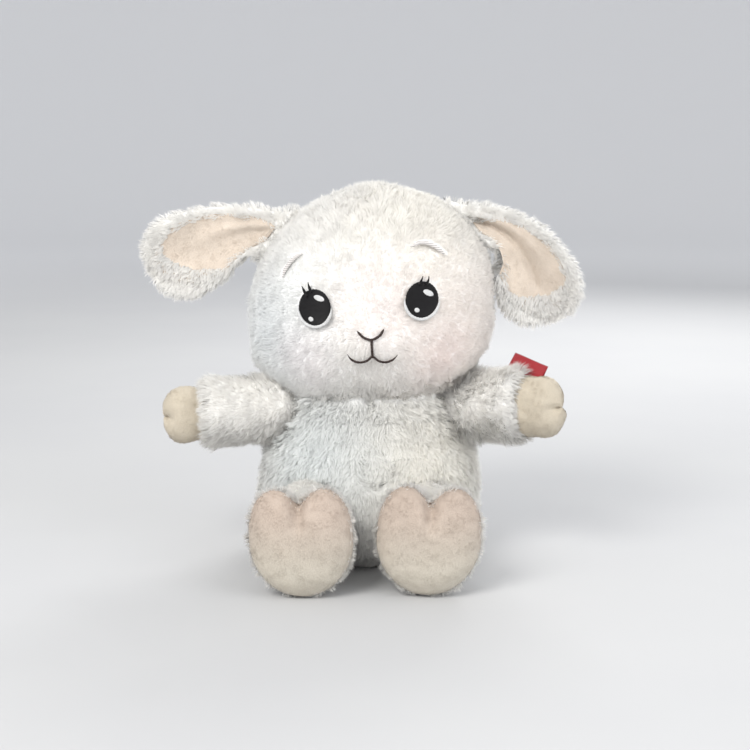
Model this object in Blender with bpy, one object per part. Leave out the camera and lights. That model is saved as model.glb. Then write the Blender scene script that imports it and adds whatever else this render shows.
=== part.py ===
"""Plush lamb night light, sitting, with jointed soft limbs and the lamp parts that it holds inside.

Metres, +Z up. The origin is the middle of the flat face that the torso sits on, the face looks along -Y, and
+X is the lamb's own left. Every stuffed form is a loft of rings whose sizes come from the values below.
"""

import math

import bmesh
import bpy
from mathutils import Matrix, Vector

# Clearances and counts
GAP = 0.0003
OVERRUN = 0.006
FORM_SIDES = 24
LIMB_SIDES = 16
SOCKET_SIDES = 20
SMALL_SIDES = 14
BALL_RINGS = 7
LEAD_QUARTER_SIDES = 2
SHARP_ANGLE = 40

# Torso: widths and depths follow the height by shares (height, width, depth)
TORSO_WIDTH = 0.156
TORSO_DEPTH = 0.130
TORSO_HEIGHT = 0.104
TORSO_SHARES = [
    (0.00, 0.66, 0.66),
    (0.04, 0.82, 0.82),
    (0.12, 0.92, 0.92),
    (0.27, 0.985, 0.985),
    (0.42, 1.00, 1.00),
    (0.60, 0.975, 0.970),
    (0.72, 0.935, 0.925),
    (0.81, 0.870, 0.870),
    (0.89, 0.780, 0.800),
    (0.94, 0.680, 0.710),
    (0.97, 0.600, 0.640),
]
NECK_RADIUS = 0.040
NECK_RINGS = 6
NECK_FLARE_RADIUS = 0.009
CHEEK_GAP = 0.0024

# Head: shares (height, width, depth)
HEAD_WIDTH = 0.166
HEAD_DEPTH = 0.138
HEAD_HEIGHT = 0.1515
HEAD_SINK = 0.002
HEAD_SIDE_SHIFT = 0.002
HEAD_ROLL = 4.8
HEAD_TURN = 2.3
HEAD_UPRIGHT_SHARE = 0.080
HEAD_SHARES = [
    (0.00, 0.30, 0.32),
    (0.02, 0.42, 0.46),
    (0.06, 0.56, 0.57),
    (0.12, 0.765, 0.77),
    (0.19, 0.885, 0.89),
    (0.28, 0.965, 0.96),
    (0.38, 1.00, 0.99),
    (0.48, 1.00, 1.00),
    (0.60, 0.965, 0.965),
    (0.72, 0.885, 0.89),
    (0.82, 0.76, 0.78),
    (0.90, 0.59, 0.61),
    (0.96, 0.38, 0.40),
    (0.99, 0.19, 0.20),
]
MUZZLE_RISE = 0.006
MUZZLE_HALF_WIDTH = 0.030
MUZZLE_HALF_HEIGHT = 0.017
MUZZLE_HEIGHT = 0.049

# Ears: shares (along, half width, half thickness) from the root to the tip
EAR_LENGTH = 0.095
EAR_WIDTH = 0.063
EAR_THICKNESS = 0.013
EAR_ROOT_THICKNESS = 0.011
EAR_GROOVE_GAP = 0.0009
EAR_CUP = 0.009
EAR_CUP_SHARE = 0.27
EAR_BACK_SHARES = (0.45, 0.85)
EAR_ROOT_DEPTH = 0.0002
EAR_SHARES = [
    (0.00, 0.70, 1.00),
    (0.12, 0.69, 1.00),
    (0.27, 0.75, 1.00),
    (0.43, 0.87, 1.00),
    (0.58, 0.95, 0.97),
    (0.70, 1.00, 0.92),
    (0.81, 0.95, 0.84),
    (0.90, 0.79, 0.72),
    (0.96, 0.56, 0.56),
    (0.99, 0.30, 0.38),
]
EAR_SIDES = 16
EAR_PATH_ANGLES = {"left": (10, -68), "right": (11, -25)}
EAR_SETTLE_SHARE = 0.5
EAR_SWEEPS = {"left": 12, "right": 0}
EAR_ROOT_SHARES = {"left": 0.7987, "right": 0.8185}
LINING_THICKNESS = 0.0008
LINING_START_SHARE = 0.10
LINING_END_SHARE = 0.90
LINING_WIDTH_SHARE = 0.66
LINING_ROWS = 8
LINING_COLUMNS = 7
LINING_END_ROW_SHARE = 0.6

# Arms: shares (along, radius) after the ball that turns in the torso
ARM_BALL_RADIUS = 0.0215
ARM_RADIUS = 0.0250
ARM_LENGTH = 0.050
ARM_PIVOT_SIDE = 0.062
ARM_PIVOT_DEPTH = -0.006
ARM_PIVOT_LIFTS = {"left": 0.0005, "right": -0.0020}
ARM_SHARES = [
    (0.24, 0.79),
    (0.36, 0.87),
    (0.50, 0.94),
    (0.66, 0.97),
    (0.80, 0.99),
    (0.92, 1.00),
    (0.98, 0.93),
    (1.00, 0.80),
]
ARM_TURNS = {"left": (-34, 5), "right": (-8, -3)}

# Hands and feet: cloven pads, wider than they are thick
HAND_LENGTH = 0.030
HAND_WIDTH = 0.039
HAND_THICKNESS = 0.028
HAND_CLEFT_WIDTH_SHARE = 0.35
HAND_SHARES = [
    (0.00, 0.72, 0.00),
    (0.14, 0.86, 0.00),
    (0.34, 0.97, 0.00),
    (0.55, 1.00, 0.02),
    (0.74, 0.93, 0.06),
    (0.88, 0.75, 0.11),
    (0.96, 0.52, 0.14),
    (0.99, 0.28, 0.13),
]
FOOT_WIDTH = 0.066
FOOT_HEIGHT = 0.0725
FOOT_THICKNESS = 0.026
PAD_SIDES = 20
CLEFT_SHARE = 0.36
CLEFT_WIDTH_SHARE = 0.20
FOOT_SPLAY = 3
PAD_SHOULDER_POWER = 2.7
PAD_SHARES = [
    (0.00, 0.62, 0.45),
    (0.07, 0.84, 0.70),
    (0.24, 0.97, 0.95),
    (0.45, 1.00, 1.00),
    (0.66, 0.95, 0.95),
    (0.83, 0.80, 0.80),
    (0.94, 0.56, 0.50),
    (0.99, 0.27, 0.20),
]

# Legs
LEG_BALL_RADIUS = 0.0285
LEG_RADIUS = 0.0295
LEG_LENGTH = 0.047
LEG_PIVOT_SIDE = 0.038
LEG_PIVOT_DEPTHS = {"left": -0.0495, "right": -0.0525}
LEG_PIVOT_HEIGHT = 0.0315
LEG_SHARES = [
    (0.36, 0.76),
    (0.50, 0.86),
    (0.64, 0.95),
    (0.80, 1.00),
    (0.93, 0.97),
    (1.00, 0.86),
]
LEG_TURNS = {"left": (0, 2.5), "right": (4.5, 1)}
FOOT_FLOOR_GAP = 0.0004

# Tail
TAIL_LENGTH = 0.024
TAIL_RADIUS = 0.0095
TAIL_CLEARANCE = 0.0005
TAIL_DROOP = -18
TAIL_SHARES = [(0.0, 0.55), (0.25, 0.90), (0.50, 1.00), (0.75, 0.85), (0.92, 0.52), (0.99, 0.24)]

# Face stitching
EYE_WIDTH = 0.0215
EYE_HEIGHT = 0.0250
EYE_SPACING = 0.0704
EYE_LEVEL = 0.0785
EYE_THICKNESS = 0.0008
EYE_RINGS = 3
EYE_SIDES = 20
SHINE_SHARES = (0.20, 0.42, 0.30, 0.20)
RIM_START = 190
RIM_END = 350
SHINE_THICKNESS = 0.0005
RIM_THICKNESS = 0.0006
RIM_WIDTH = 0.0012
STITCH_RADIUS = 0.0007
NOSE_LEVEL = 0.0575
NOSE_HALF_WIDTH = 0.0086
NOSE_RISE = 0.0048
STEM_LENGTH = 0.0115
SMILE_HALF_WIDTH = 0.0165
SMILE_DIP = 0.0042
SMILE_TURN = 1.2
NOSE_POWER = 1.4

# Side tag on the left sleeve
TAG_LENGTH = 0.028
TAG_HEIGHT = 0.011
TAG_THICKNESS = 0.0006
TAG_ALONG_SHARE = 1.06
TAG_SET_BACK = 26

# Pocket and case
CASE_WIDTH = 0.062
CASE_HEIGHT = 0.0525
CASE_MIDDLE_SHARE = 0.5505
CASE_SET_BACK = 0.047
CASE_FRONT_DEPTH = 0.012
CASE_BACK_DEPTH = 0.0145
CASE_WALL = 0.0018
POUCH_WALL = 0.0008
POUCH_RIM = 0.002
BOARD_THICKNESS = 0.0016
BOARD_LEDGE = 0.002
BOARD_INSET = 0.0065
CHIP_SIZE = 0.008
CHIP_HEIGHT = 0.0014

# Cells and contacts
CELL_RADIUS = 0.00525
CELL_LENGTH = 0.0445
CELL_NUB_RADIUS = 0.0019
CELL_NUB_LENGTH = 0.0009
CELL_COUNT = 3
CELL_PITCH = 0.0111
BAY_LENGTH = 0.0535
BAY_MARGIN = 0.0004
PLATE_SIZE = 0.0080
PLATE_THICKNESS = 0.0004
SPRING_RADIUS = 0.0034
SPRING_TIP_RADIUS = 0.0020
SPRING_WIRE = 0.00035
SPRING_TURNS = 3
SPRING_TURN_POINTS = 8

# Door, screws and switch
DOOR_THICKNESS = 0.0019
DOOR_LIP = 0.002
DOOR_STRIP = 0.0065
SCREW_HEAD_RADIUS = 0.0026
SCREW_HEAD_HEIGHT = 0.0011
SCREW_RADIUS = 0.0012
SCREW_LENGTH = 0.0080
CASE_SCREW_LENGTH = 0.0200
CASE_SCREW_INSET = 0.0055
SWITCH_WIDTH = 0.0090
SWITCH_HEIGHT = 0.0042
SWITCH_DEPTH = 0.0045
SLIDER_WIDTH = 0.0026
SLIDER_HEIGHT = 0.0022
SLIDER_STAND = 0.0014
SLIDER_TRAVEL = 0.0030

# Back flap and its closure
FLAP_WIDTH = 0.070
FLAP_TOP_LAP = 0.0050
FLAP_SHOULDER = 0.0095
FLAP_TAB_WIDTH = 0.024
FLAP_BOTTOM_LAP = 0.0045
FLAP_THICKNESS = 0.0030
TAPE_THICKNESS = 0.0008
TAPE_WIDTH = 0.044
TAPE_MARGIN = 0.0005

# Belly button
BUTTON_SIDE = 0.005
BUTTON_HEIGHT_SHARE = 0.6827
BUTTON_RADIUS = 0.0135
BUTTON_WALL = 0.0014
BUTTON_DEPTH = 0.0085
BUTTON_TRAVEL = 0.0020
CAP_THICKNESS = 0.0030
PAD_RADIUS = 0.0115
PAD_DEPTH = 0.0065
TACT_SIZE = 0.0060
TACT_HEIGHT = 0.0030

# Lamps in the belly and in the head
LAMP_RADIUS = 0.0140
LAMP_WALL = 0.0013
LAMP_BASE_DEPTH = 0.0070
LAMP_BOARD_THICKNESS = 0.0012
LAMP_BOARD_DEPTH = 0.0030
LAMP_DOME_RINGS = 5
LED_RADIUS = 0.0030
LED_HEIGHT = 0.0075
BELLY_LAMP_FRONT = -0.006
BELLY_LAMP_HEIGHT_SHARE = 0.452
HEAD_LAMP_LIFT = 0.005

# Leads
LEAD_RADIUS = 0.0012
LEAD_STEP = 0.0055
LEAD_HOLE = 0.0018
BUTTON_LEAD_SIDE = 0.009
HEAD_LEAD_SIDE = -0.010
BOARD_LEAD_LIFT = 0.0380
HEAD_LEAD_BEND_DROP = 0.014
HEAD_LEAD_BEND_DEPTH = 0.006

# Places that follow from the sizes above
NECK_PIVOT = Vector((0, 0, TORSO_HEIGHT))
HEAD_BOTTOM = TORSO_HEIGHT - HEAD_SINK
CASE_BOTTOM = TORSO_HEIGHT * CASE_MIDDLE_SHARE - CASE_HEIGHT / 2
CASE_TOP = CASE_BOTTOM + CASE_HEIGHT
FLAP_TOP = CASE_TOP + FLAP_TOP_LAP
FLAP_BOTTOM = CASE_BOTTOM - FLAP_BOTTOM_LAP
TAIL_HEIGHT = FLAP_BOTTOM - TAIL_RADIUS - TAIL_CLEARANCE
BUTTON_HEIGHT = TORSO_HEIGHT * BUTTON_HEIGHT_SHARE
BELLY_LAMP_HEIGHT = TORSO_HEIGHT * BELLY_LAMP_HEIGHT_SHARE
BOARD_LEAD_HEIGHT = CASE_BOTTOM + BOARD_LEAD_LIFT
HEAD_LEAD_BEND_HEIGHT = TORSO_HEIGHT - HEAD_LEAD_BEND_DROP
CASE_FRONT = TORSO_DEPTH / 2 - CASE_SET_BACK
CASE_SPLIT = CASE_FRONT + CASE_FRONT_DEPTH
CASE_REAR = CASE_SPLIT + GAP + CASE_BACK_DEPTH
BAY_HEIGHT = CELL_PITCH * CELL_COUNT + BAY_MARGIN
BAY_BOTTOM = CASE_BOTTOM + CASE_WALL + DOOR_LIP
BAY_TOP = BAY_BOTTOM + BAY_HEIGHT
BAY_DEPTH = CELL_RADIUS * 2 + BAY_MARGIN
DOOR_FRONT = CASE_REAR - DOOR_THICKNESS
BAY_FLOOR = DOOR_FRONT - GAP - BAY_DEPTH
DOOR_TOP = BAY_TOP + DOOR_STRIP
BOARD_FRONT = CASE_FRONT + BOARD_INSET
BOARD_REAR = BOARD_FRONT + BOARD_THICKNESS
CHAMBER_BOTTOM = DOOR_TOP + CASE_WALL / 2
CHAMBER_TOP = CASE_TOP - CASE_WALL
SWITCH_LEVEL = (CHAMBER_BOTTOM + CHAMBER_TOP) / 2
HEAD_LAMP_BOTTOM = TORSO_HEIGHT + NECK_RADIUS + HEAD_LAMP_LIFT

MATERIALS = {
    "white_plush": ((0.86, 0.85, 0.81), 0.95, 0),
    "brown_velour": ((0.50, 0.43, 0.35), 0.90, 0),
    "black_thread": ((0.02, 0.02, 0.02), 0.60, 0),
    "white_thread": ((0.93, 0.93, 0.92), 0.60, 0),
    "dark_thread": ((0.10, 0.07, 0.06), 0.65, 0),
    "red_ribbon": ((0.60, 0.05, 0.06), 0.55, 0),
    "lining_cloth": ((0.75, 0.75, 0.73), 0.85, 0),
    "hook_tape": ((0.88, 0.88, 0.86), 0.80, 0),
    "white_plastic": ((0.85, 0.85, 0.83), 0.45, 0),
    "grey_plastic": ((0.35, 0.36, 0.37), 0.50, 0),
    "frosted_plastic": ((0.92, 0.93, 0.95), 0.35, 0),
    "cell_jacket": ((0.12, 0.28, 0.45), 0.35, 0),
    "steel": ((0.62, 0.62, 0.63), 0.30, 1),
    "green_board": ((0.05, 0.30, 0.14), 0.50, 0),
    "black_epoxy": ((0.03, 0.03, 0.03), 0.40, 0),
    "clear_epoxy": ((0.90, 0.95, 1.00), 0.15, 0),
    "red_cable": ((0.65, 0.08, 0.07), 0.50, 0),
}


def clear_scene():
    for item in list(bpy.data.objects):
        bpy.data.objects.remove(item, do_unlink=True)


def material(name):
    """The named material, made the first time that it is asked for."""
    found = bpy.data.materials.get(name)
    if found:
        return found
    colour, roughness, metallic = MATERIALS[name]
    made = bpy.data.materials.new(name)
    made.use_nodes = True
    shader = made.node_tree.nodes["Principled BSDF"]
    shader.inputs["Base Color"].default_value = (*colour, 1)
    shader.inputs["Roughness"].default_value = roughness
    shader.inputs["Metallic"].default_value = metallic
    made.diffuse_color = (*colour, 1)
    return made


def add_mesh(name, bm, finish=None, parent=None):
    """An object of the bmesh, facing out; without a finish it is a hidden cutter."""
    bmesh.ops.recalc_face_normals(bm, faces=bm.faces)
    mesh = bpy.data.meshes.new(name)
    bm.to_mesh(mesh)
    bm.free()
    mesh.shade_smooth()
    mesh.set_sharp_from_angle(angle=math.radians(SHARP_ANGLE))
    made = bpy.data.objects.new(name, mesh)
    bpy.context.scene.collection.objects.link(made)
    if finish:
        mesh.materials.append(material(finish))
    else:
        made.hide_render = True
        made.display_type = "WIRE"
    if parent:
        attach(made, parent)
    return made


def attach(child, parent):
    """Parents the object to an empty without moving it."""
    child.parent = parent
    child.matrix_parent_inverse = parent.matrix_world.inverted()


def pivot(name, place, parent=None):
    """An empty on a joint's axis."""
    made = bpy.data.objects.new(name, None)
    made.location = place
    bpy.context.scene.collection.objects.link(made)
    bpy.context.view_layer.update()
    if parent:
        attach(made, parent)
        bpy.context.view_layer.update()
    return made


def combine(target, tool, operation):
    change = target.modifiers.new(operation.lower() + "_" + tool.name, "BOOLEAN")
    change.operation = operation
    change.object = tool
    change.solver = "EXACT"


def cut(target, *tools):
    for tool in tools:
        combine(target, tool, "DIFFERENCE")


def keep(target, tool):
    combine(target, tool, "INTERSECT")


def add_loft(bm, rings):
    """Skins the rings, which have the same number of points, and closes both ends."""
    loops = [[bm.verts.new(point) for point in ring] for ring in rings]
    count = len(loops[0])
    for near, far in zip(loops, loops[1:]):
        for i in range(count):
            bm.faces.new((near[i], near[(i + 1) % count], far[(i + 1) % count], far[i]))
    bm.faces.new(loops[0])
    bm.faces.new(loops[-1])


def loft(name, rings, finish=None, parent=None):
    bm = bmesh.new()
    add_loft(bm, rings)
    return add_mesh(name, bm, finish, parent)


def add_box(bm, low, high):
    size = Vector(high) - Vector(low)
    middle = (Vector(high) + Vector(low)) / 2
    bmesh.ops.create_cube(bm, size=1, matrix=Matrix.Translation(middle) @ Matrix.Diagonal((*size, 1)))


def box(name, low, high, finish=None, parent=None):
    bm = bmesh.new()
    add_box(bm, low, high)
    return add_mesh(name, bm, finish, parent)


def turned_rings(start, direction, profile, sides):
    """Circles of radius r at the distance d along the direction, for each (d, r) of the profile."""
    aim = Vector(direction).normalized()
    turn = aim.to_track_quat("Z", "Y").to_matrix()
    rings = []
    for distance, radius in profile:
        middle = Vector(start) + aim * distance
        angles = [2 * math.pi * i / sides for i in range(sides)]
        spokes = [turn @ Vector((math.cos(a), math.sin(a), 0)) for a in angles]
        rings.append([middle + spoke * radius for spoke in spokes])
    return rings


def rod(name, start, end, radius, finish=None, parent=None, sides=SMALL_SIDES):
    reach = Vector(end) - Vector(start)
    rings = turned_rings(start, reach, [(0, radius), (reach.length, radius)], sides)
    return loft(name, rings, finish, parent)


def socket(name, middle, radius):
    """A ball shaped cutter whose flat facets also clear a ball of the radius."""
    clear = (radius + GAP) / math.cos(math.pi / SOCKET_SIDES) ** 2
    bm = bmesh.new()
    matrix = Matrix.Translation(middle)
    bmesh.ops.create_uvsphere(
        bm, u_segments=SOCKET_SIDES, v_segments=SOCKET_SIDES // 2, radius=clear, matrix=matrix
    )
    return add_mesh(name, bm)


def share_at(table, height):
    """The width and depth shares at a height share, between the table's rows."""
    if height <= table[0][0]:
        return table[0][1:]
    for low, high in zip(table, table[1:]):
        if height <= high[0]:
            part = (height - low[0]) / (high[0] - low[0])
            return tuple(a + (b - a) * part for a, b in zip(low[1:], high[1:]))
    return table[-1][1:]


def oval(middle, half_width, half_depth, sides):
    """A level ellipse round the middle."""
    angles = [2 * math.pi * i / sides for i in range(sides)]
    return [Vector(middle) + Vector((half_width * math.cos(a), half_depth * math.sin(a), 0)) for a in angles]


def torso_rings(grow=0):
    rings = []
    for height, width, depth in TORSO_SHARES:
        level = (0, 0, TORSO_HEIGHT * height - (grow if height == 0 else 0))
        rings.append(oval(level, TORSO_WIDTH / 2 * width + grow, TORSO_DEPTH / 2 * depth + grow, FORM_SIDES))
    for i in range(NECK_RINGS):
        angle = math.pi / 2 * i / NECK_RINGS
        level = NECK_PIVOT + Vector((0, 0, (NECK_RADIUS + grow) * math.sin(angle)))
        radius = (NECK_RADIUS + grow) * math.cos(angle)
        rings.append(oval(level, radius, radius, FORM_SIDES))
    return rings


def torso_depth_at(side, height):
    """How far the torso's front and back lie from its middle plane, at a place across and up."""
    width, depth = share_at(TORSO_SHARES, height / TORSO_HEIGHT)
    across = min(abs(side) / (TORSO_WIDTH / 2 * width), 1)
    return TORSO_DEPTH / 2 * depth * math.sqrt(1 - across * across)


def torso_patch(name, inner, outer, low, high, finish=None, parent=None):
    """The layer between two offsets of the torso's form, within a box on its front or back."""
    patch = loft(name, torso_rings(outer), finish, parent)
    cut(patch, loft(name + "_inside", torso_rings(inner)))
    keep(patch, box(name + "_window", low, high))
    return patch


def head_matrix():
    middle = Vector((HEAD_SIDE_SHIFT, 0, HEAD_BOTTOM + HEAD_HEIGHT / 2))
    roll = Matrix.Rotation(math.radians(-HEAD_ROLL), 4, "Y")
    turn = Matrix.Rotation(math.radians(-HEAD_TURN), 4, "Z")
    return Matrix.Translation(middle) @ roll @ turn @ Matrix.Translation((0, 0, -HEAD_HEIGHT / 2))


def muzzle_rise(side, height):
    across = side / MUZZLE_HALF_WIDTH
    up = (height - MUZZLE_HEIGHT) / MUZZLE_HALF_HEIGHT
    return MUZZLE_RISE * math.exp(-across * across - up * up)


def head_drift(level):
    """How far the head's middle is moved aside at a level, to set the tilted head upright."""
    return HEAD_UPRIGHT_SHARE * (level - HEAD_HEIGHT / 2)


def head_rings():
    rings = []
    for height, width, depth in HEAD_SHARES:
        level = HEAD_HEIGHT * height
        middle = (head_drift(level), 0, level)
        ring = oval(middle, HEAD_WIDTH / 2 * width, HEAD_DEPTH / 2 * depth, FORM_SIDES)
        for point in ring:
            if point.y < 0:
                point.y -= muzzle_rise(point.x, level)
        rings.append([head_matrix() @ point for point in ring])
    return rings


def face_point(side, height, stand):
    """A place on the face, across and up from the head's lowest middle, standing off by some."""
    width, depth = share_at(HEAD_SHARES, height / HEAD_HEIGHT)
    across = (side - head_drift(height)) / (HEAD_WIDTH / 2 * width)
    front = HEAD_DEPTH / 2 * depth * math.sqrt(1 - across * across) + muzzle_rise(side, height)
    return head_matrix() @ Vector((side, -front - stand, height))


def face_patch(bm, places, stand, thickness, grid_rings):
    """A thin plate on the face inside a closed outline of (across, up) places."""
    middle = Vector((sum(p[0] for p in places), sum(p[1] for p in places))) / len(places)
    rings = []
    for i in range(1, grid_rings + 1):
        part = i / grid_rings
        ring = [(middle.x + (p[0] - middle.x) * part, middle.y + (p[1] - middle.y) * part) for p in places]
        rings.append([face_point(a, b, stand + thickness) for a, b in ring])
    back = [[face_point(a, b, stand) for a, b in places]]
    for i in range(grid_rings - 1, 0, -1):
        part = i / grid_rings
        ring = [(middle.x + (p[0] - middle.x) * part, middle.y + (p[1] - middle.y) * part) for p in places]
        back.append([face_point(a, b, stand) for a, b in ring])
    add_loft(bm, rings + back)


def ellipse_places(side, level, half_width, half_height, sides, start=0, end=360):
    angles = [math.radians(start + (end - start) * i / sides) for i in range(sides)]
    return [(side + half_width * math.cos(a), level + half_height * math.sin(a)) for a in angles]


def make_eye(side_name, sign, parent):
    """The embroidered eye, its highlight and the pale rim under it."""
    side = sign * EYE_SPACING / 2
    bm = bmesh.new()
    outline = ellipse_places(side, EYE_LEVEL, EYE_WIDTH / 2, EYE_HEIGHT / 2, EYE_SIDES)
    face_patch(bm, outline, GAP, EYE_THICKNESS, EYE_RINGS)
    add_mesh("eye_" + side_name, bm, "black_thread", parent)
    across, up, half_width, half_height = SHINE_SHARES
    middle = (side + across * EYE_WIDTH / 2, EYE_LEVEL + up * EYE_HEIGHT / 2)
    bm = bmesh.new()
    outline = ellipse_places(*middle, half_width * EYE_WIDTH / 2, half_height * EYE_HEIGHT / 2, SMALL_SIDES)
    face_patch(bm, outline, GAP + EYE_THICKNESS + GAP, SHINE_THICKNESS, 1)
    add_mesh("eye_shine_" + side_name, bm, "white_thread", parent)
    inner_width = EYE_WIDTH / 2 + GAP
    inner_height = EYE_HEIGHT / 2 + GAP
    ends = (EYE_SIDES, RIM_START, RIM_END)
    outer = ellipse_places(side, EYE_LEVEL, inner_width + RIM_WIDTH, inner_height + RIM_WIDTH, *ends)
    inner = ellipse_places(side, EYE_LEVEL, inner_width, inner_height, *ends)
    rings = []
    for a, b in zip(outer, inner):
        corners = [(a, GAP), (a, GAP + RIM_THICKNESS), (b, GAP + RIM_THICKNESS), (b, GAP)]
        rings.append([face_point(*place, stand) for place, stand in corners])
    loft("eye_rim_" + side_name, rings, "white_thread", parent)


def stitch_rings(places):
    """A round thread along (across, up) places on the face."""
    points = [face_point(a, b, GAP + STITCH_RADIUS) for a, b in places]
    rings = []
    for i, point in enumerate(points):
        ahead = (points[min(i + 1, len(points) - 1)] - points[max(i - 1, 0)]).normalized()
        out = (face_point(*places[i], OVERRUN) - point).normalized()
        across = ahead.cross(out).normalized()
        out = across.cross(ahead)
        angles = [math.pi / 3 * k for k in range(6)]
        rings.append([point + (across * math.cos(a) + out * math.sin(a)) * STITCH_RADIUS for a in angles])
    return rings


def make_smile(parent):
    """One thread: the nose's two arms, the stem under it and the smile."""
    steps = [i / 4 for i in range(-4, 5)]
    nose = [(NOSE_HALF_WIDTH * t, NOSE_LEVEL + NOSE_RISE * abs(t) ** NOSE_POWER) for t in steps]
    thread = loft("nose_and_smile_stitch", stitch_rings(nose), "dark_thread", parent)
    level = NOSE_LEVEL - STEM_LENGTH
    stem = [(0, NOSE_LEVEL + (level - NOSE_LEVEL) * i / 4) for i in range(5)]
    steps = [i / 7 for i in range(-7, 8)]
    dips = [SMILE_DIP * math.sin(math.pi * SMILE_TURN * abs(t)) for t in steps]
    smile = [(SMILE_HALF_WIDTH * t, level - dip) for t, dip in zip(steps, dips)]
    for name, places in (("nose_stem", stem), ("smile", smile)):
        combine(thread, loft(name, stitch_rings(places)), "UNION")


def ear_frames(side_name):
    """Middle, outward, across, front and cup of each ring of an ear, from its root to its tip."""
    sign = 1 if side_name == "left" else -1
    level = HEAD_HEIGHT * EAR_ROOT_SHARES[side_name]
    below, width, above = (HEAD_WIDTH / 2 * share_at(HEAD_SHARES, (level + step) / HEAD_HEIGHT)[0]
                           for step in (-EAR_ROOT_THICKNESS, 0, EAR_ROOT_THICKNESS))
    root = head_matrix() @ Vector((head_drift(level) + sign * (width - EAR_ROOT_DEPTH), 0, level))
    slope = (below - above) / (2 * EAR_ROOT_THICKNESS) - sign * HEAD_UPRIGHT_SHARE
    normal = math.degrees(math.atan(slope)) + sign * HEAD_ROLL
    start, end = EAR_PATH_ANGLES[side_name]
    front = Vector((0, -1, 0))
    middle = root.copy()
    frames = []
    last = 0
    for along, _, _ in EAR_SHARES:
        path = start + (end - start) * (1 - (1 - along) ** 2)
        middle = middle + ear_way(sign, path) * (along - last) * EAR_LENGTH
        last = along
        settled = min(along / EAR_SETTLE_SHARE, 1)
        lean = normal + (path - normal) * settled * settled * (3 - 2 * settled)
        cup = EAR_CUP * min(along / EAR_CUP_SHARE, 1)
        frames.append((middle, ear_way(sign, lean), ear_way(sign, lean + 90), front, cup))
    sweep = Matrix.Rotation(math.radians(sign * -EAR_SWEEPS[side_name]), 3, frames[0][2])
    return [
        (root + sweep @ (middle - root), sweep @ aim, sweep @ across, sweep @ front, cup)
        for middle, aim, across, front, cup in frames
    ]


def ear_way(sign, angle):
    """The unit vector at an angle above the level, in the ears' plane on one side."""
    return Vector((sign * math.cos(math.radians(angle)), 0, math.sin(math.radians(angle))))


def ear_place(frame, half_width, across_share, stand):
    """A place in an ear's ring: across by a share of its half width, and ahead of its cupped middle sheet."""
    middle, _, across, front, cup = frame
    bend = cup * across_share * across_share * half_width / (EAR_WIDTH / 2)
    return middle + across * half_width * across_share + front * (stand + bend)


def ear_ring(frame, half_width, half_thickness):
    angles = [2 * math.pi * i / EAR_SIDES for i in range(EAR_SIDES)]
    return [ear_place(frame, half_width, math.cos(a), half_thickness * math.sin(a)) for a in angles]


def make_ear(side_name, parent):
    frames = ear_frames(side_name)
    root, aim = frames[0][:2]
    root_width = EAR_WIDTH / 2 * EAR_SHARES[0][1]
    rings = []
    for part in EAR_BACK_SHARES:
        half = EAR_ROOT_THICKNESS / 2
        back = (root - aim * half * math.sqrt(1 - part * part), *frames[0][1:])
        rings.append(ear_ring(back, root_width * part, half * part))
    for frame, (along, width, thickness) in zip(frames, EAR_SHARES):
        blend = min(along / EAR_CUP_SHARE, 1)
        half = (EAR_ROOT_THICKNESS + (EAR_THICKNESS - EAR_ROOT_THICKNESS) * blend) / 2 * thickness
        rings.append(ear_ring(frame, EAR_WIDTH / 2 * width, half))
    return loft("ear_" + side_name, rings, "white_plush", parent)


def make_lining(side_name, parent):
    """The velour on the hollow front of an ear, a thin plate over the ear's own surface."""
    frames = ear_frames(side_name)
    rows = []
    for i in range(LINING_ROWS):
        along = LINING_START_SHARE + (LINING_END_SHARE - LINING_START_SHARE) * i / (LINING_ROWS - 1)
        width, thickness = share_at(EAR_SHARES, along)
        spot = next(k for k in range(1, len(EAR_SHARES)) if EAR_SHARES[k][0] >= along)
        before, after = EAR_SHARES[spot - 1][0], EAR_SHARES[spot][0]
        part = (along - before) / (after - before)
        near, far = frames[spot - 1], frames[spot]
        frame = [a.lerp(b, part) for a, b in zip(near[:4], far[:4])]
        frame.append(near[4] + (far[4] - near[4]) * part)
        rounds = LINING_ROWS - 1 + 2 * LINING_END_ROW_SHARE
        end = math.sqrt(math.sin(math.pi * (i + LINING_END_ROW_SHARE) / rounds))
        rows.append((frame, EAR_WIDTH / 2 * width, EAR_THICKNESS / 2 * thickness, end))
    bm = bmesh.new()
    layers = []
    for lift in (GAP + GAP, GAP + GAP + LINING_THICKNESS):
        layer = []
        for frame, half_width, half, end in rows:
            reach = LINING_WIDTH_SHARE * end
            shares = [reach * (2 * j / (LINING_COLUMNS - 1) - 1) for j in range(LINING_COLUMNS)]
            places = [ear_place(frame, half_width, t, half * math.sqrt(1 - t * t) + lift) for t in shares]
            layer.append([bm.verts.new(place) for place in places])
        layers.append(layer)
    low, high = layers
    for i in range(LINING_ROWS - 1):
        for j in range(LINING_COLUMNS - 1):
            bm.faces.new((low[i][j], low[i][j + 1], low[i + 1][j + 1], low[i + 1][j]))
            bm.faces.new((high[i][j], high[i + 1][j], high[i + 1][j + 1], high[i][j + 1]))
    edge = [(0, j) for j in range(LINING_COLUMNS)]
    edge += [(i, LINING_COLUMNS - 1) for i in range(1, LINING_ROWS)]
    edge += [(LINING_ROWS - 1, j) for j in range(LINING_COLUMNS - 2, -1, -1)]
    edge += [(i, 0) for i in range(LINING_ROWS - 2, 0, -1)]
    for (i, j), (k, m) in zip(edge, edge[1:] + edge[:1]):
        bm.faces.new((low[i][j], high[i][j], high[k][m], low[k][m]))
    return add_mesh("ear_lining_" + side_name, bm, "brown_velour", parent)


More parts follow.
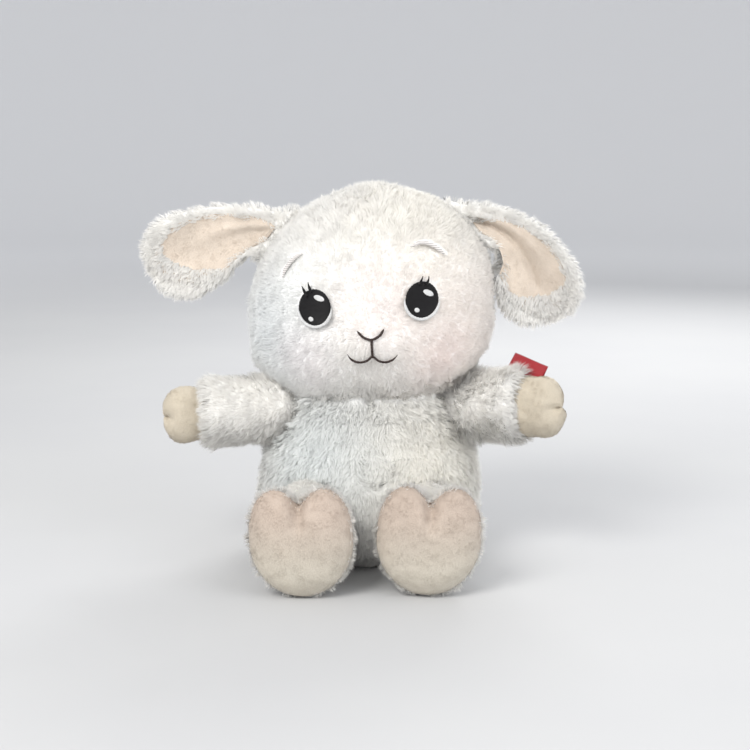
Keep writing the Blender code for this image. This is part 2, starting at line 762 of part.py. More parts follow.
def limb_profile(ball_radius, length, radius, shares):
    """(distance, radius) pairs: the back of the ball that turns in its socket, then the limb."""
    first_distance, first_radius = shares[0][0] * length, shares[0][1] * radius
    meet = math.asin(min(first_radius / ball_radius, 1))
    profile = []
    for i in range(1, BALL_RINGS + 1):
        angle = (math.pi - meet) * i / BALL_RINGS
        profile.append((-ball_radius * math.cos(angle), ball_radius * math.sin(angle)))
    last = profile[-1][0]
    profile += [(along * length, share * radius) for along, share in shares if along * length > last]
    return profile


def limb_direction(side_name, turns, rest):
    """Unit direction of a limb: its rest direction on the lamb's left, turned and then lifted."""
    sign = 1 if side_name == "left" else -1
    turn, lift = (math.radians(value) for value in turns[side_name])
    flat = Matrix.Rotation(turn, 3, "Z") @ Vector(rest)
    flat.x *= sign
    return (flat * math.cos(lift) + Vector((0, 0, math.sin(lift)))).normalized()


def pad_outline(along, cleft):
    """A closed unit outline with a cleft at its top, as (across, up) pairs."""
    places = []
    for i in range(PAD_SIDES):
        angle = 2 * math.pi * i / PAD_SIDES
        power = PAD_SHOULDER_POWER if math.sin(angle) > 0 else 2
        reach = (abs(math.cos(angle)) ** power + abs(math.sin(angle)) ** power) ** (-1 / power)
        off = (angle - math.pi / 2) / (CLEFT_WIDTH_SHARE * math.pi / 2)
        reach *= 1 - cleft * along * math.exp(-off * off)
        places.append((reach * math.cos(angle), reach * math.sin(angle)))
    return places


def pad_rings(middle, across, up, out, width, height, thickness):
    """Rings of a cloven pad from its back to its crowned front."""
    rings = []
    for depth, size, cleft in PAD_SHARES:
        places = pad_outline(cleft, CLEFT_SHARE)
        level = middle + out * thickness * depth
        rings.append([level + across * width / 2 * size * a + up * height / 2 * size * b for a, b in places])
    return rings


def make_arm(side_name, torso, head):
    """A sleeve on a ball that turns in the torso, its hand, and the places that the tag is set by."""
    sign = 1 if side_name == "left" else -1
    place = Vector((sign * ARM_PIVOT_SIDE, ARM_PIVOT_DEPTH, TORSO_HEIGHT + ARM_PIVOT_LIFTS[side_name]))
    aim = limb_direction(side_name, ARM_TURNS, (1, 0, 0))
    mount = pivot("arm_pivot_" + side_name, place)
    profile = limb_profile(ARM_BALL_RADIUS, ARM_LENGTH, ARM_RADIUS, ARM_SHARES)
    rings = turned_rings(place, aim, profile, LIMB_SIDES)
    loft("arm_" + side_name, rings, "white_plush", mount)
    cut(torso, socket("arm_socket_" + side_name, place, ARM_BALL_RADIUS))
    cut(head, socket("cheek_socket_" + side_name, place, ARM_BALL_RADIUS + CHEEK_GAP))
    cuff = place + aim * (ARM_LENGTH + GAP)
    level = Vector((-aim.y, aim.x, 0)).normalized() * sign
    up = aim.cross(level).normalized() * (1 if aim.cross(level).z > 0 else -1)
    rings = hand_rings(cuff, aim, up, level)
    loft("hand_" + side_name, rings, "brown_velour", mount)
    return place, aim, up, level, mount


def hand_rings(cuff, aim, up, level):
    """A mitten that leaves the cuff and ends in two toes, one over the other."""
    rings = []
    for along, size, cleft in HAND_SHARES:
        ring = []
        for i in range(LIMB_SIDES):
            angle = 2 * math.pi * i / LIMB_SIDES
            across = math.cos(angle)
            drawn = HAND_LENGTH * cleft * math.exp(-((across / HAND_CLEFT_WIDTH_SHARE) ** 2))
            place = cuff + aim * (HAND_LENGTH * along - drawn)
            place += up * HAND_WIDTH / 2 * size * across
            place += level * HAND_THICKNESS / 2 * size * math.sin(angle)
            ring.append(place)
        rings.append(ring)
    return rings


def make_leg(side_name, torso):
    """A leg on a ball that turns in the torso, with its sole."""
    sign = 1 if side_name == "left" else -1
    place = Vector((sign * LEG_PIVOT_SIDE, LEG_PIVOT_DEPTHS[side_name], LEG_PIVOT_HEIGHT))
    aim = limb_direction(side_name, LEG_TURNS, (0, -1, 0))
    mount = pivot("leg_pivot_" + side_name, place)
    profile = limb_profile(LEG_BALL_RADIUS, LEG_LENGTH, LEG_RADIUS, LEG_SHARES)
    rings = turned_rings(place, aim, profile, LIMB_SIDES)
    loft("leg_" + side_name, rings, "white_plush", mount)
    cut(torso, socket("leg_socket_" + side_name, place, LEG_BALL_RADIUS))
    end = place + aim * (LEG_LENGTH + GAP)
    rise = Vector((-aim.x * aim.z, -aim.y * aim.z, 1 - aim.z * aim.z)).normalized()
    up = Matrix.Rotation(math.radians(-sign * FOOT_SPLAY), 3, aim) @ rise
    middle = end + rise * (FOOT_FLOOR_GAP + FOOT_HEIGHT / 2 - end.z) / rise.z
    rings = pad_rings(middle, up.cross(aim), up, aim, FOOT_WIDTH, FOOT_HEIGHT, FOOT_THICKNESS)
    loft("foot_" + side_name, rings, "brown_velour", mount)


def make_tail():
    back = torso_depth_at(0, TAIL_HEIGHT)
    angle = math.radians(TAIL_DROOP)
    aim = Vector((0, math.cos(angle), math.sin(angle)))
    start = Vector((0, back + GAP + GAP, TAIL_HEIGHT))
    profile = [(along * TAIL_LENGTH, share * TAIL_RADIUS) for along, share in TAIL_SHARES]
    rings = turned_rings(start, aim, profile, SMALL_SIDES)
    loft("tail", rings, "white_plush")


def make_head(torso):
    """The head on its neck socket, with the face, both ears and the lamp inside."""
    mount = pivot("head_pivot", NECK_PIVOT)
    head = loft("head", head_rings(), "white_plush", mount)
    cut(head, socket("neck_socket", NECK_PIVOT, NECK_RADIUS))
    for side_name, sign in (("left", 1), ("right", -1)):
        make_eye(side_name, sign, mount)
        frames = ear_frames(side_name)
        root, _, across = frames[0][:3]
        ear_mount = pivot("ear_pivot_" + side_name, root, mount)
        make_ear(side_name, ear_mount)
        make_lining(side_name, ear_mount)
        half = EAR_WIDTH / 2 * EAR_SHARES[0][1] + OVERRUN
        cut_radius = EAR_ROOT_THICKNESS / 2 + EAR_GROOVE_GAP
        cut(head, rod("ear_groove_" + side_name, root - across * half, root + across * half, cut_radius))
    make_smile(mount)
    base = Vector((0, 0, HEAD_LAMP_BOTTOM))
    make_lamp("head", base, Vector((0, 0, 1)), head, mount)
    way_start = NECK_PIVOT + Vector((0, 0, NECK_RADIUS / 2))
    way = rod("head_lead_way", way_start, base + Vector((0, 0, OVERRUN)), LEAD_RADIUS + GAP + GAP)
    cut(head, way)
    flare_profile = [(0, LEAD_RADIUS + GAP + GAP), (NECK_RADIUS + OVERRUN, NECK_FLARE_RADIUS)]
    flare = loft("neck_flare", turned_rings(NECK_PIVOT, (0, 0, 1), flare_profile, SMALL_SIDES))
    cut(torso, flare)
    return head


def make_lamp(where, base, aim, host, parent=None):
    """A cup, a board with LEDs on its rim and a frosted dome, in a hollow of its host."""
    outer = LAMP_RADIUS
    inner = outer - LAMP_WALL
    hollow = [(-GAP, outer + GAP), (LAMP_BASE_DEPTH + GAP, outer + GAP)]
    hollow += dome_profile(outer + GAP, LAMP_BASE_DEPTH + GAP)
    cut(host, loft(where + "_lamp_hollow", turned_rings(base, aim, hollow, SMALL_SIDES)))
    wall = [(0, outer), (LAMP_BASE_DEPTH, outer)]
    cup = loft(where + "_lamp_cup", turned_rings(base, aim, wall, SMALL_SIDES), "white_plastic", parent)
    ledge = [(LAMP_BOARD_DEPTH, inner), (LAMP_BASE_DEPTH + OVERRUN, inner)]
    cut(cup, loft(where + "_lamp_cup_inside", turned_rings(base, aim, ledge, SMALL_SIDES)))
    cut(cup, rod(where + "_lamp_cup_hole", base - aim * OVERRUN, base + aim * LAMP_BASE_DEPTH, LEAD_HOLE))
    board_start = LAMP_BOARD_DEPTH + GAP
    board = [(board_start, inner - GAP), (board_start + LAMP_BOARD_THICKNESS, inner - GAP)]
    loft(where + "_led_board", turned_rings(base, aim, board, SMALL_SIDES), "green_board", parent)
    top = board_start + LAMP_BOARD_THICKNESS + GAP
    bulb = [(top, LED_RADIUS), (top + LED_HEIGHT - LED_RADIUS, LED_RADIUS)]
    bulb += dome_profile(LED_RADIUS, top + LED_HEIGHT - LED_RADIUS)
    loft(where + "_led", turned_rings(base, aim, bulb, SMALL_SIDES), "clear_epoxy", parent)
    start = LAMP_BASE_DEPTH + GAP
    outside = [(start, outer)] + dome_profile(outer, start)
    shell = turned_rings(base, aim, outside, SMALL_SIDES)
    dome = loft(where + "_lamp_dome", shell, "frosted_plastic", parent)
    inside = [(start - OVERRUN, inner), (start, inner)] + dome_profile(inner, start)
    cut(dome, loft(where + "_lamp_dome_inside", turned_rings(base, aim, inside, SMALL_SIDES)))


def dome_profile(radius, start):
    """(distance, radius) pairs of a half ball that stands on a rim."""
    angles = [math.pi / 2 * i / LAMP_DOME_RINGS for i in range(1, LAMP_DOME_RINGS)]
    return [(start + radius * math.sin(a), radius * math.cos(a)) for a in angles]


def smooth_route(points):
    """Points a step apart on a smooth curve through the route's own points."""
    points = [Vector(p) for p in points]
    ends = [points[0] * 2 - points[1]] + points + [points[-1] * 2 - points[-2]]
    route = []
    for a, b, c, d in zip(ends, ends[1:], ends[2:], ends[3:]):
        steps = max(1, round((c - b).length / LEAD_STEP))
        for i in range(steps):
            t = i / steps
            route.append((b * 2 + (c - a) * t + (a * 2 - b * 5 + c * 4 - d) * t * t
                          + (b * 3 - a - c * 3 + d) * t * t * t) / 2)
    return route + [points[-1]]


def make_lead(name, points, finish):
    """A curve object with a round bevel and closed ends."""
    curve = bpy.data.curves.new(name, "CURVE")
    curve.dimensions = "3D"
    curve.bevel_depth = LEAD_RADIUS
    curve.bevel_resolution = LEAD_QUARTER_SIDES
    curve.use_fill_caps = True
    route = smooth_route(points)
    line = curve.splines.new("POLY")
    line.points.add(len(route) - 1)
    for spot, point in zip(line.points, route):
        spot.co = (*point, 1)
    made = bpy.data.objects.new(name, curve)
    bpy.context.scene.collection.objects.link(made)
    curve.materials.append(material(finish))
    return made


def tunnel(name, points, radius):
    """A mesh cutter of round section along a smooth route."""
    route = smooth_route(points)
    rings = []
    side = None
    for i, point in enumerate(route):
        ahead = (route[min(i + 1, len(route) - 1)] - route[max(i - 1, 0)]).normalized()
        side = (side - ahead * side.dot(ahead)).normalized() if side else ahead.orthogonal().normalized()
        other = ahead.cross(side)
        angles = [2 * math.pi * k / SMALL_SIDES for k in range(SMALL_SIDES)]
        rings.append([point + (side * math.cos(a) + other * math.sin(a)) * radius for a in angles])
    return loft(name, rings)


def lead_routes():
    """Each lead's own points, from the board in the case to what it feeds."""
    start = BOARD_FRONT - GAP
    wall = CASE_FRONT - CASE_WALL
    lamp_end = BELLY_LAMP_FRONT - LAMP_BOARD_DEPTH
    button_end = button_front() + BUTTON_DEPTH - BUTTON_WALL + GAP
    head_end = HEAD_LAMP_BOTTOM + LAMP_BOARD_DEPTH
    up = BOARD_LEAD_HEIGHT
    return {
        "belly_lamp_lead": [
            (0, start, BELLY_LAMP_HEIGHT),
            (0, wall, BELLY_LAMP_HEIGHT),
            (0, BELLY_LAMP_FRONT + LEAD_STEP, BELLY_LAMP_HEIGHT),
            (0, lamp_end, BELLY_LAMP_HEIGHT),
        ],
        "belly_button_lead": [
            (BUTTON_LEAD_SIDE, start, up),
            (BUTTON_LEAD_SIDE, wall, up),
            ((BUTTON_LEAD_SIDE + BUTTON_SIDE) / 2, (wall + button_end) / 2, (up + BUTTON_HEIGHT) / 2),
            (BUTTON_SIDE, button_end + OVERRUN, BUTTON_HEIGHT),
            (BUTTON_SIDE, button_end, BUTTON_HEIGHT),
        ],
        "head_lead": [
            (HEAD_LEAD_SIDE, start, up),
            (HEAD_LEAD_SIDE, wall, up),
            (HEAD_LEAD_SIDE, wall - LEAD_STEP, up),
            (HEAD_LEAD_SIDE / 2, HEAD_LEAD_BEND_DEPTH, (up + HEAD_LEAD_BEND_HEIGHT) / 2),
            (0, 0, HEAD_LEAD_BEND_HEIGHT),
            (0, 0, TORSO_HEIGHT),
            (0, 0, TORSO_HEIGHT + NECK_RADIUS / 2),
            (0, 0, TORSO_HEIGHT + NECK_RADIUS),
            (0, 0, head_end),
        ],
    }


def make_leads(torso, pouch, case_front, button_housing):
    for name, route in lead_routes().items():
        make_lead(name, route, "red_cable")
        cut(torso, tunnel(name + "_way", route, LEAD_RADIUS + GAP + GAP))
        side, _, level = route[0]
        start, end = (side, CASE_FRONT - OVERRUN, level), (side, BOARD_FRONT - GAP, level)
        cut(pouch, rod(name + "_pouch_hole", start, end, LEAD_HOLE))
        cut(case_front, rod(name + "_case_hole", start, end, LEAD_HOLE))
    foot = Vector((BUTTON_SIDE, button_front() + BUTTON_DEPTH, BUTTON_HEIGHT))
    away = Vector((0, OVERRUN / 2, 0))
    cut(button_housing, rod("button_housing_hole", foot - away, foot + away, LEAD_HOLE))


def button_front():
    """The plane of the button housing's open front."""
    return PAD_DEPTH + GAP + CAP_THICKNESS - torso_depth_at(BUTTON_SIDE, BUTTON_HEIGHT)


def make_button(torso):
    """The soft belly pad, the cap that it presses, the housing and the switch inside it."""
    front = button_front()
    cap_front = front - CAP_THICKNESS
    pad_back = cap_front - GAP
    outside = pad_back - PAD_DEPTH - OVERRUN

    def at(depth):
        return Vector((BUTTON_SIDE, depth, BUTTON_HEIGHT))

    mount = pivot("button_pivot", at(front))
    pad = loft("belly_press_pad", torso_rings(), "white_plush", mount)
    keep(pad, rod("belly_press_pad_edge", at(outside), at(pad_back), PAD_RADIUS))
    cut(torso, rod("belly_pad_well", at(outside), at(front), PAD_RADIUS + GAP + GAP))
    end = front + BUTTON_DEPTH
    cut(torso, rod("belly_button_well", at(front - GAP), at(end + GAP), BUTTON_RADIUS + GAP))
    housing = rod("button_housing", at(front), at(end), BUTTON_RADIUS, "white_plastic")
    floor = end - BUTTON_WALL
    cut(housing, rod("button_housing_inside", at(front - OVERRUN), at(floor), BUTTON_RADIUS - BUTTON_WALL))
    cap_radius = BUTTON_RADIUS - BUTTON_WALL - GAP - GAP
    tact_front = floor - GAP - TACT_HEIGHT
    rod("button_cap", at(cap_front), at(tact_front - GAP - BUTTON_TRAVEL), cap_radius, "white_plastic", mount)
    half = Vector((TACT_SIZE / 2, 0, TACT_SIZE / 2))
    box("tact_switch", at(tact_front) - half, at(floor - GAP) + half, "black_epoxy")
    return housing


def make_pocket(torso):
    """The hole in the torso's back and the cloth pouch that lines it."""
    half = CASE_WIDTH / 2 + GAP + POUCH_WALL
    low = Vector((-half, CASE_FRONT - GAP - POUCH_WALL, CASE_BOTTOM - GAP - POUCH_WALL))
    high = Vector((half, CASE_REAR + POUCH_RIM, CASE_TOP + GAP + POUCH_WALL))
    gap = Vector((GAP, GAP, GAP))
    back = Vector((0, TORSO_DEPTH, 0))
    cut(torso, box("pocket_hole", low - gap, high + gap + back))
    pouch = box("pocket_pouch", low, high, "lining_cloth")
    wall = Vector((POUCH_WALL, POUCH_WALL, POUCH_WALL))
    cut(pouch, box("pocket_pouch_inside", low + wall, high - wall + back))
    return pouch


def make_case():
    """Both halves of the case, the board, the cells and their contacts, the door and the screws."""
    half = CASE_WIDTH / 2
    front = box("case_front", (-half, CASE_FRONT, CASE_BOTTOM), (half, CASE_SPLIT, CASE_TOP), "white_plastic")
    inner = half - CASE_WALL
    low, high = CASE_BOTTOM + CASE_WALL, DOOR_TOP
    screw_side = half - CASE_SCREW_INSET
    strip_half = screw_side - SCREW_HEAD_RADIUS - CASE_WALL
    cut(front, box("case_front_seat", (-inner, BOARD_FRONT, low), (inner, CASE_SPLIT + OVERRUN, high)))
    ledge = BOARD_LEDGE
    cut(front, box("case_front_well", (-inner + ledge, CASE_FRONT + CASE_WALL, low + ledge),
                   (inner - ledge, CASE_SPLIT + OVERRUN, high - ledge)))
    cut(front, box("case_front_strip", (-strip_half, BOARD_FRONT, high - ledge - GAP),
                   (strip_half, CASE_SPLIT + OVERRUN, CHAMBER_TOP)))
    board_low = (-inner + GAP, BOARD_FRONT + GAP, low + GAP)
    box("circuit_board", board_low, (inner - GAP, BOARD_REAR + GAP, high - GAP), "green_board")
    chip_half = CHIP_SIZE / 2
    chip_front = BOARD_REAR + GAP + GAP
    chip_level = (low + high) / 2
    box("controller_chip", (-chip_half, chip_front, chip_level - chip_half),
        (chip_half, chip_front + CHIP_HEIGHT, chip_level + chip_half), "black_epoxy")
    back_low = (-half, CASE_SPLIT + GAP, CASE_BOTTOM)
    back = box("case_back", back_low, (half, CASE_REAR, CASE_TOP), "white_plastic")
    bay_half = BAY_LENGTH / 2
    bay_high = (bay_half, CASE_REAR + OVERRUN, BAY_TOP)
    cut(back, box("battery_bay", (-bay_half, BAY_FLOOR, BAY_BOTTOM), bay_high))
    lip = DOOR_LIP
    door_low = (-bay_half - lip, DOOR_FRONT - GAP, BAY_BOTTOM - lip)
    door_high = (bay_half + lip, CASE_REAR + OVERRUN, DOOR_TOP)
    cut(back, box("door_seat", door_low, door_high))
    chamber_rear = CASE_REAR - CASE_WALL
    cut(back, box("switch_chamber", (-strip_half, CASE_SPLIT - OVERRUN, CHAMBER_BOTTOM),
                  (strip_half, chamber_rear, CHAMBER_TOP)))
    make_door(back, door_low, door_high)
    make_case_screws(front, back, screw_side)
    make_switch(back, chamber_rear)
    make_cells(bay_half)
    return front


def screw_rings(head, aim, length):
    cap = [(0, SCREW_HEAD_RADIUS), (SCREW_HEAD_HEIGHT, SCREW_HEAD_RADIUS)]
    shank = [(SCREW_HEAD_HEIGHT, SCREW_RADIUS), (length, SCREW_RADIUS)]
    return turned_rings(head, aim, cap + shank, SMALL_SIDES // 2)


def make_door(back, seat_low, seat_high):
    gap = Vector((GAP, GAP, GAP))
    low = Vector(seat_low) + gap
    high = Vector((seat_high[0], CASE_REAR + GAP, seat_high[2])) - gap
    mount = pivot("door_pivot", ((low.x + high.x) / 2, low.y, (low.z + high.z) / 2))
    door = box("battery_door", low, high, "white_plastic", mount)
    level = (BAY_TOP + DOOR_TOP) / 2
    head = Vector((0, CASE_REAR, level))
    inward = Vector((0, -1, 0))
    hole = SCREW_RADIUS + GAP
    deep = SCREW_HEAD_HEIGHT + GAP
    cut(door, rod("door_screw_seat", head - inward * OVERRUN, head + inward * deep, SCREW_HEAD_RADIUS + GAP))
    cut(door, rod("door_screw_hole", head - inward * OVERRUN, head + inward * OVERRUN, hole))
    cut(back, rod("door_screw_boss", head - inward * OVERRUN, head + inward * (SCREW_LENGTH + GAP), hole))
    loft("battery_door_screw", screw_rings(head, inward, SCREW_LENGTH), "steel", mount)


def make_case_screws(front, back, screw_side):
    inward = Vector((0, -1, 0))
    for side_name, sign in (("left", 1), ("right", -1)):
        head = Vector((sign * screw_side, CASE_REAR - GAP, SWITCH_LEVEL))
        name = "case_screw_" + side_name
        loft(name, screw_rings(head, inward, CASE_SCREW_LENGTH), "steel")
        seat = SCREW_HEAD_HEIGHT + GAP
        cut(back, rod(name + "_seat", head - inward * OVERRUN, head + inward * seat, SCREW_HEAD_RADIUS + GAP))
        deep = CASE_SCREW_LENGTH + GAP
        for half_name, half in (("_back", back), ("_front", front)):
            hole = SCREW_RADIUS + GAP
            cut(half, rod(name + half_name, head - inward * OVERRUN, head + inward * deep, hole))


def make_switch(back, rear):
    """The slide switch behind the case's back wall, with its slider through a slot."""
    half = SWITCH_WIDTH / 2
    tall = SWITCH_HEIGHT / 2
    housing = box("switch_housing", (-half, rear - GAP - SWITCH_DEPTH, SWITCH_LEVEL - tall),
                  (half, rear - GAP, SWITCH_LEVEL + tall), "grey_plastic")
    start = -(SLIDER_TRAVEL + SLIDER_WIDTH) / 2
    rise = SLIDER_HEIGHT / 2
    inner_end = rear - GAP - SWITCH_DEPTH / 2
    slot_low = Vector((start - GAP, inner_end - GAP, SWITCH_LEVEL - rise - GAP))
    slot_high = Vector((-start + GAP, CASE_REAR + OVERRUN, SWITCH_LEVEL + rise + GAP))
    cut(housing, box("switch_slot", slot_low, slot_high))
    cut(back, box("case_switch_slot", slot_low, slot_high))
    mount = pivot("slider_pivot", (start + SLIDER_WIDTH / 2, inner_end, SWITCH_LEVEL))
    box("switch_slider", (start, inner_end, SWITCH_LEVEL - rise),
        (start + SLIDER_WIDTH, CASE_REAR + SLIDER_STAND, SWITCH_LEVEL + rise), "black_epoxy", mount)


def make_cells(bay_half):
    """Three cells in series, each turned against the next, and the four contacts that join them."""
    depth = BAY_FLOOR + CELL_RADIUS + GAP
    tip = bay_half - GAP - PLATE_THICKNESS - GAP
    flat = tip - CELL_LENGTH
    levels = [BAY_BOTTOM + CELL_PITCH * (i + 0.5) + BAY_MARGIN / 2 for i in range(CELL_COUNT)]
    signs = [1 if i % 2 == 0 else -1 for i in range(CELL_COUNT)]
    for i, (sign, level) in enumerate(zip(signs, levels)):
        shoulder = tip - CELL_NUB_LENGTH
        can = [(flat, CELL_RADIUS), (shoulder, CELL_RADIUS)]
        nub = [(shoulder, CELL_NUB_RADIUS), (tip, CELL_NUB_RADIUS)]
        rings = turned_rings((0, depth, level), (sign, 0, 0), can + nub, SMALL_SIDES)
        loft("cell_%d" % (i + 1), rings, "cell_jacket")
    half = PLATE_SIZE / 2
    joins = [(0, None)] + [(i + 1, i) for i in range(CELL_COUNT - 1)] + [(None, CELL_COUNT - 1)]
    for number, (tip_cell, flat_cell) in enumerate(joins, 1):
        cells = [i for i in (tip_cell, flat_cell) if i is not None]
        end = signs[tip_cell] if tip_cell is not None else -signs[flat_cell]
        near, far = sorted((end * (bay_half - GAP - PLATE_THICKNESS), end * (bay_half - GAP)))
        low, high = min(levels[i] for i in cells) - half, max(levels[i] for i in cells) + half
        plate = box("contact_%d" % number, (near, depth - half, low), (far, depth + half, high), "steel")
        if flat_cell is not None:
            start = Vector((end * (bay_half - GAP - PLATE_THICKNESS), depth, levels[flat_cell]))
            reach = 2 * bay_half - GAP - PLATE_THICKNESS - (bay_half - flat) - GAP - SPRING_WIRE
            coil = loft("contact_coil_%d" % number, spring_rings(start, Vector((-end, 0, 0)), 0, reach))
            combine(plate, coil, "UNION")


def spring_rings(middle, aim, start, reach):
    """A coil that narrows towards the cell, as square rings along its wire."""
    turn = aim.to_track_quat("Z", "Y").to_matrix()
    count = SPRING_TURNS * SPRING_TURN_POINTS
    rings = []
    for i in range(count + 1):
        part = i / count
        angle = 2 * math.pi * SPRING_TURNS * part
        radius = SPRING_RADIUS + (SPRING_TIP_RADIUS - SPRING_RADIUS) * part
        out = turn @ Vector((math.cos(angle), math.sin(angle), 0))
        spot = middle + aim * (start + reach * part) + out * radius
        corners = [(1, 0), (0, 1), (-1, 0), (0, -1)]
        rings.append([spot + out * SPRING_WIRE * a + aim * SPRING_WIRE * b for a, b in corners])
    return rings


def make_flap(torso):
    """The back flap, hooked on at its bottom, and the tape that it closes on."""
    top_side = FLAP_TAB_WIDTH / 2
    axis_depth = torso_depth_at(0, FLAP_TOP) + GAP
    mount = pivot("flap_pivot", (0, axis_depth, FLAP_TOP))
    half = FLAP_WIDTH / 2
    bm = bmesh.new()
    shoulder = FLAP_TOP - FLAP_SHOULDER
    outline = [(-half, FLAP_BOTTOM), (half, FLAP_BOTTOM), (half, shoulder)]
    outline += [(top_side, FLAP_TOP), (-top_side, FLAP_TOP), (-half, shoulder)]
    add_loft(bm, [[Vector((x, y, z)) for x, z in outline] for y in (0, TORSO_DEPTH)])
    flap = loft("back_flap", torso_rings(GAP + FLAP_THICKNESS), "white_plush", mount)
    cut(flap, loft("back_flap_inside", torso_rings(GAP)))
    keep(flap, add_mesh("back_flap_window", bm))
    tape_half = TAPE_WIDTH / 2
    low, high = FLAP_BOTTOM + TAPE_MARGIN, CASE_BOTTOM - GAP - POUCH_WALL - GAP - TAPE_MARGIN
    tape_low, tape_high = Vector((-tape_half, 0, low)), Vector((tape_half, TORSO_DEPTH, high))
    grow = Vector((GAP, 0, GAP))
    torso_patch("hook_tape", GAP, GAP + TAPE_THICKNESS, tape_low, tape_high, "hook_tape", mount)
    torso_patch("loop_tape", -TAPE_THICKNESS, 0, tape_low, tape_high, "hook_tape")
    seat_low, seat_high = tape_low - grow, tape_high + grow
    cut(flap, torso_patch("hook_tape_seat", -GAP, GAP + TAPE_THICKNESS + GAP, seat_low, seat_high))
    cut(torso, torso_patch("loop_tape_seat", -TAPE_THICKNESS - GAP, OVERRUN, seat_low, seat_high))


def make_tag(place, aim, up, level, mount):
    """A folded ribbon that stands on the seam behind the left sleeve's top, at its cuff."""
    radius = ARM_RADIUS * max(share for _, share in ARM_SHARES)
    turn = Matrix.Rotation(math.radians(TAG_SET_BACK), 3, up.cross(level))
    up, level = turn @ up, turn @ level
    foot = place + aim * ARM_LENGTH * TAG_ALONG_SHARE + up * (radius + GAP)
    rings = []
    for end in (-TAG_LENGTH / 2, TAG_LENGTH / 2):
        start = foot + aim * end
        corners = [(0, -1), (1, -1), (1, 1), (0, 1)]
        rings.append([start + up * TAG_HEIGHT * a + level * TAG_THICKNESS / 2 * b for a, b in corners])
    loft("side_tag", rings, "red_ribbon", mount)


def main():
    clear_scene()
    torso = loft("torso", torso_rings(), "white_plush")
    head = make_head(torso)
    arms = {name: make_arm(name, torso, head) for name in ("left", "right")}
    for name in ("left", "right"):
        make_leg(name, torso)
    make_tail()
    make_tag(*arms["left"])
    pouch = make_pocket(torso)
    case_front = make_case()
    make_flap(torso)
    housing = make_button(torso)
    make_lamp("belly", Vector((0, BELLY_LAMP_FRONT, BELLY_LAMP_HEIGHT)), Vector((0, -1, 0)), torso)
    make_leads(torso, pouch, case_front, housing)


main()
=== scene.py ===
"""Looks of the plush lamb night light: stuffed skins with a short pile, velour panels,
embroidery and the lamp parts."""
import math
import bpy
import numpy as np
from mathutils import Matrix, Vector, kdtree


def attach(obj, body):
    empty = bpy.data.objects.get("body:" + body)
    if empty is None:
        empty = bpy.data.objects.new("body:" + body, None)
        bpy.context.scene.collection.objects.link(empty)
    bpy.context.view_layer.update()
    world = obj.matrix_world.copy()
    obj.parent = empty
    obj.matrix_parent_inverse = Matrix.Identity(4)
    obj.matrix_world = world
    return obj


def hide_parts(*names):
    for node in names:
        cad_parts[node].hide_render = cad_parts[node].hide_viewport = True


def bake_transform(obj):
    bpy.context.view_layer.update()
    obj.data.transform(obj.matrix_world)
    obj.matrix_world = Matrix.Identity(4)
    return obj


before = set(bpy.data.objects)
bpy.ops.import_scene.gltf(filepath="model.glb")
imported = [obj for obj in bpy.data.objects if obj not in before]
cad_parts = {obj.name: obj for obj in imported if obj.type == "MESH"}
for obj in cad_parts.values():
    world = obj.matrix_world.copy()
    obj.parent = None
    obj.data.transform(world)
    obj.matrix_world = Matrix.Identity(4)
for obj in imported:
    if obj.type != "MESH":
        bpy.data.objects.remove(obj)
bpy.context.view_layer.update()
TAU = 2 * math.pi
DOWN = np.array([0, 0, -1.0])

# Sizes of the forms, in metres and degrees, as in the part's source
TORSO = (0.156, 0.130, 0.104)
TORSO_SHARES = [(0, .66, .66), (.04, .82, .82), (.12, .92, .92), (.27, .985, .985), (.42, 1, 1),
                (.60, .975, .970), (.72, .935, .925), (.81, .870, .870), (.89, .780, .800),
                (.94, .680, .710), (.97, .600, .640), (1, .513, .615)]
NECK = Vector((0, 0, TORSO[2]))
NECK_RADIUS = .040
HEAD = (0.166, 0.138, 0.1515)
HEAD_SHARES = [(0, .30, .32), (.02, .42, .46), (.06, .56, .57), (.12, .765, .77), (.19, .885, .89),
               (.28, .965, .96), (.38, 1, .99), (.48, 1, 1), (.60, .965, .965), (.72, .885, .89),
               (.82, .76, .78), (.90, .59, .61), (.96, .38, .40), (.99, .19, .20), (1, .03, .03)]
HEAD_UPRIGHT = .080
HEAD_TURNS = (4.8, 2.3)
HEAD_AT = Vector((.002, 0, .102))
EAR_LENGTH, EAR_WIDTH, EAR_THICKNESS, EAR_ROOT_THICKNESS = .095, .063, .013, .011
EAR_CUP, EAR_CUP_SHARE, EAR_SETTLE = .009, .27, .5
EAR_SHARES = [(0, .70, 1), (.12, .69, 1), (.27, .75, 1), (.43, .87, 1), (.58, .95, .97), (.70, 1, .92),
              (.81, .95, .84), (.90, .79, .72), (.96, .56, .56), (.99, .30, .38), (1, .06, .10)]
EARS = {"left": (1, 10, -68, 12, .7987), "right": (-1, 11, -25, 0, .8185)}
ARM_BALL, ARM_RADIUS, ARM_LENGTH = .0215, .0250, .050
ARM_SHARES = [(.24, .79), (.36, .87), (.50, .94), (.66, .97), (.80, .99), (.92, 1), (.98, .93), (1, .80)]
ARMS = {"left": (1, Vector((.062, -.006, .1045)), -34, 5), "right": (-1, Vector((-.062, -.006, .102)), -8, -3)}
HAND = (.030, .039, .028)
HAND_SHARES = [(0, .72, 0), (.14, .86, 0), (.34, .97, 0), (.55, 1, .02), (.74, .93, .06), (.88, .75, .11),
               (.96, .52, .14), (.99, .28, .13), (1, .08, .12)]
LEG_BALL, LEG_RADIUS, LEG_LENGTH = .0285, .0295, .047
LEG_SHARES = [(.36, .76), (.50, .86), (.64, .95), (.80, 1), (.93, .97), (1, .86)]
LEGS = {"left": (1, Vector((.038, -.0495, .0315)), 0, 2.5),
        "right": (-1, Vector((-.038, -.0525, .0315)), 4.5, 1)}
FOOT = (.066, .0725, .026)
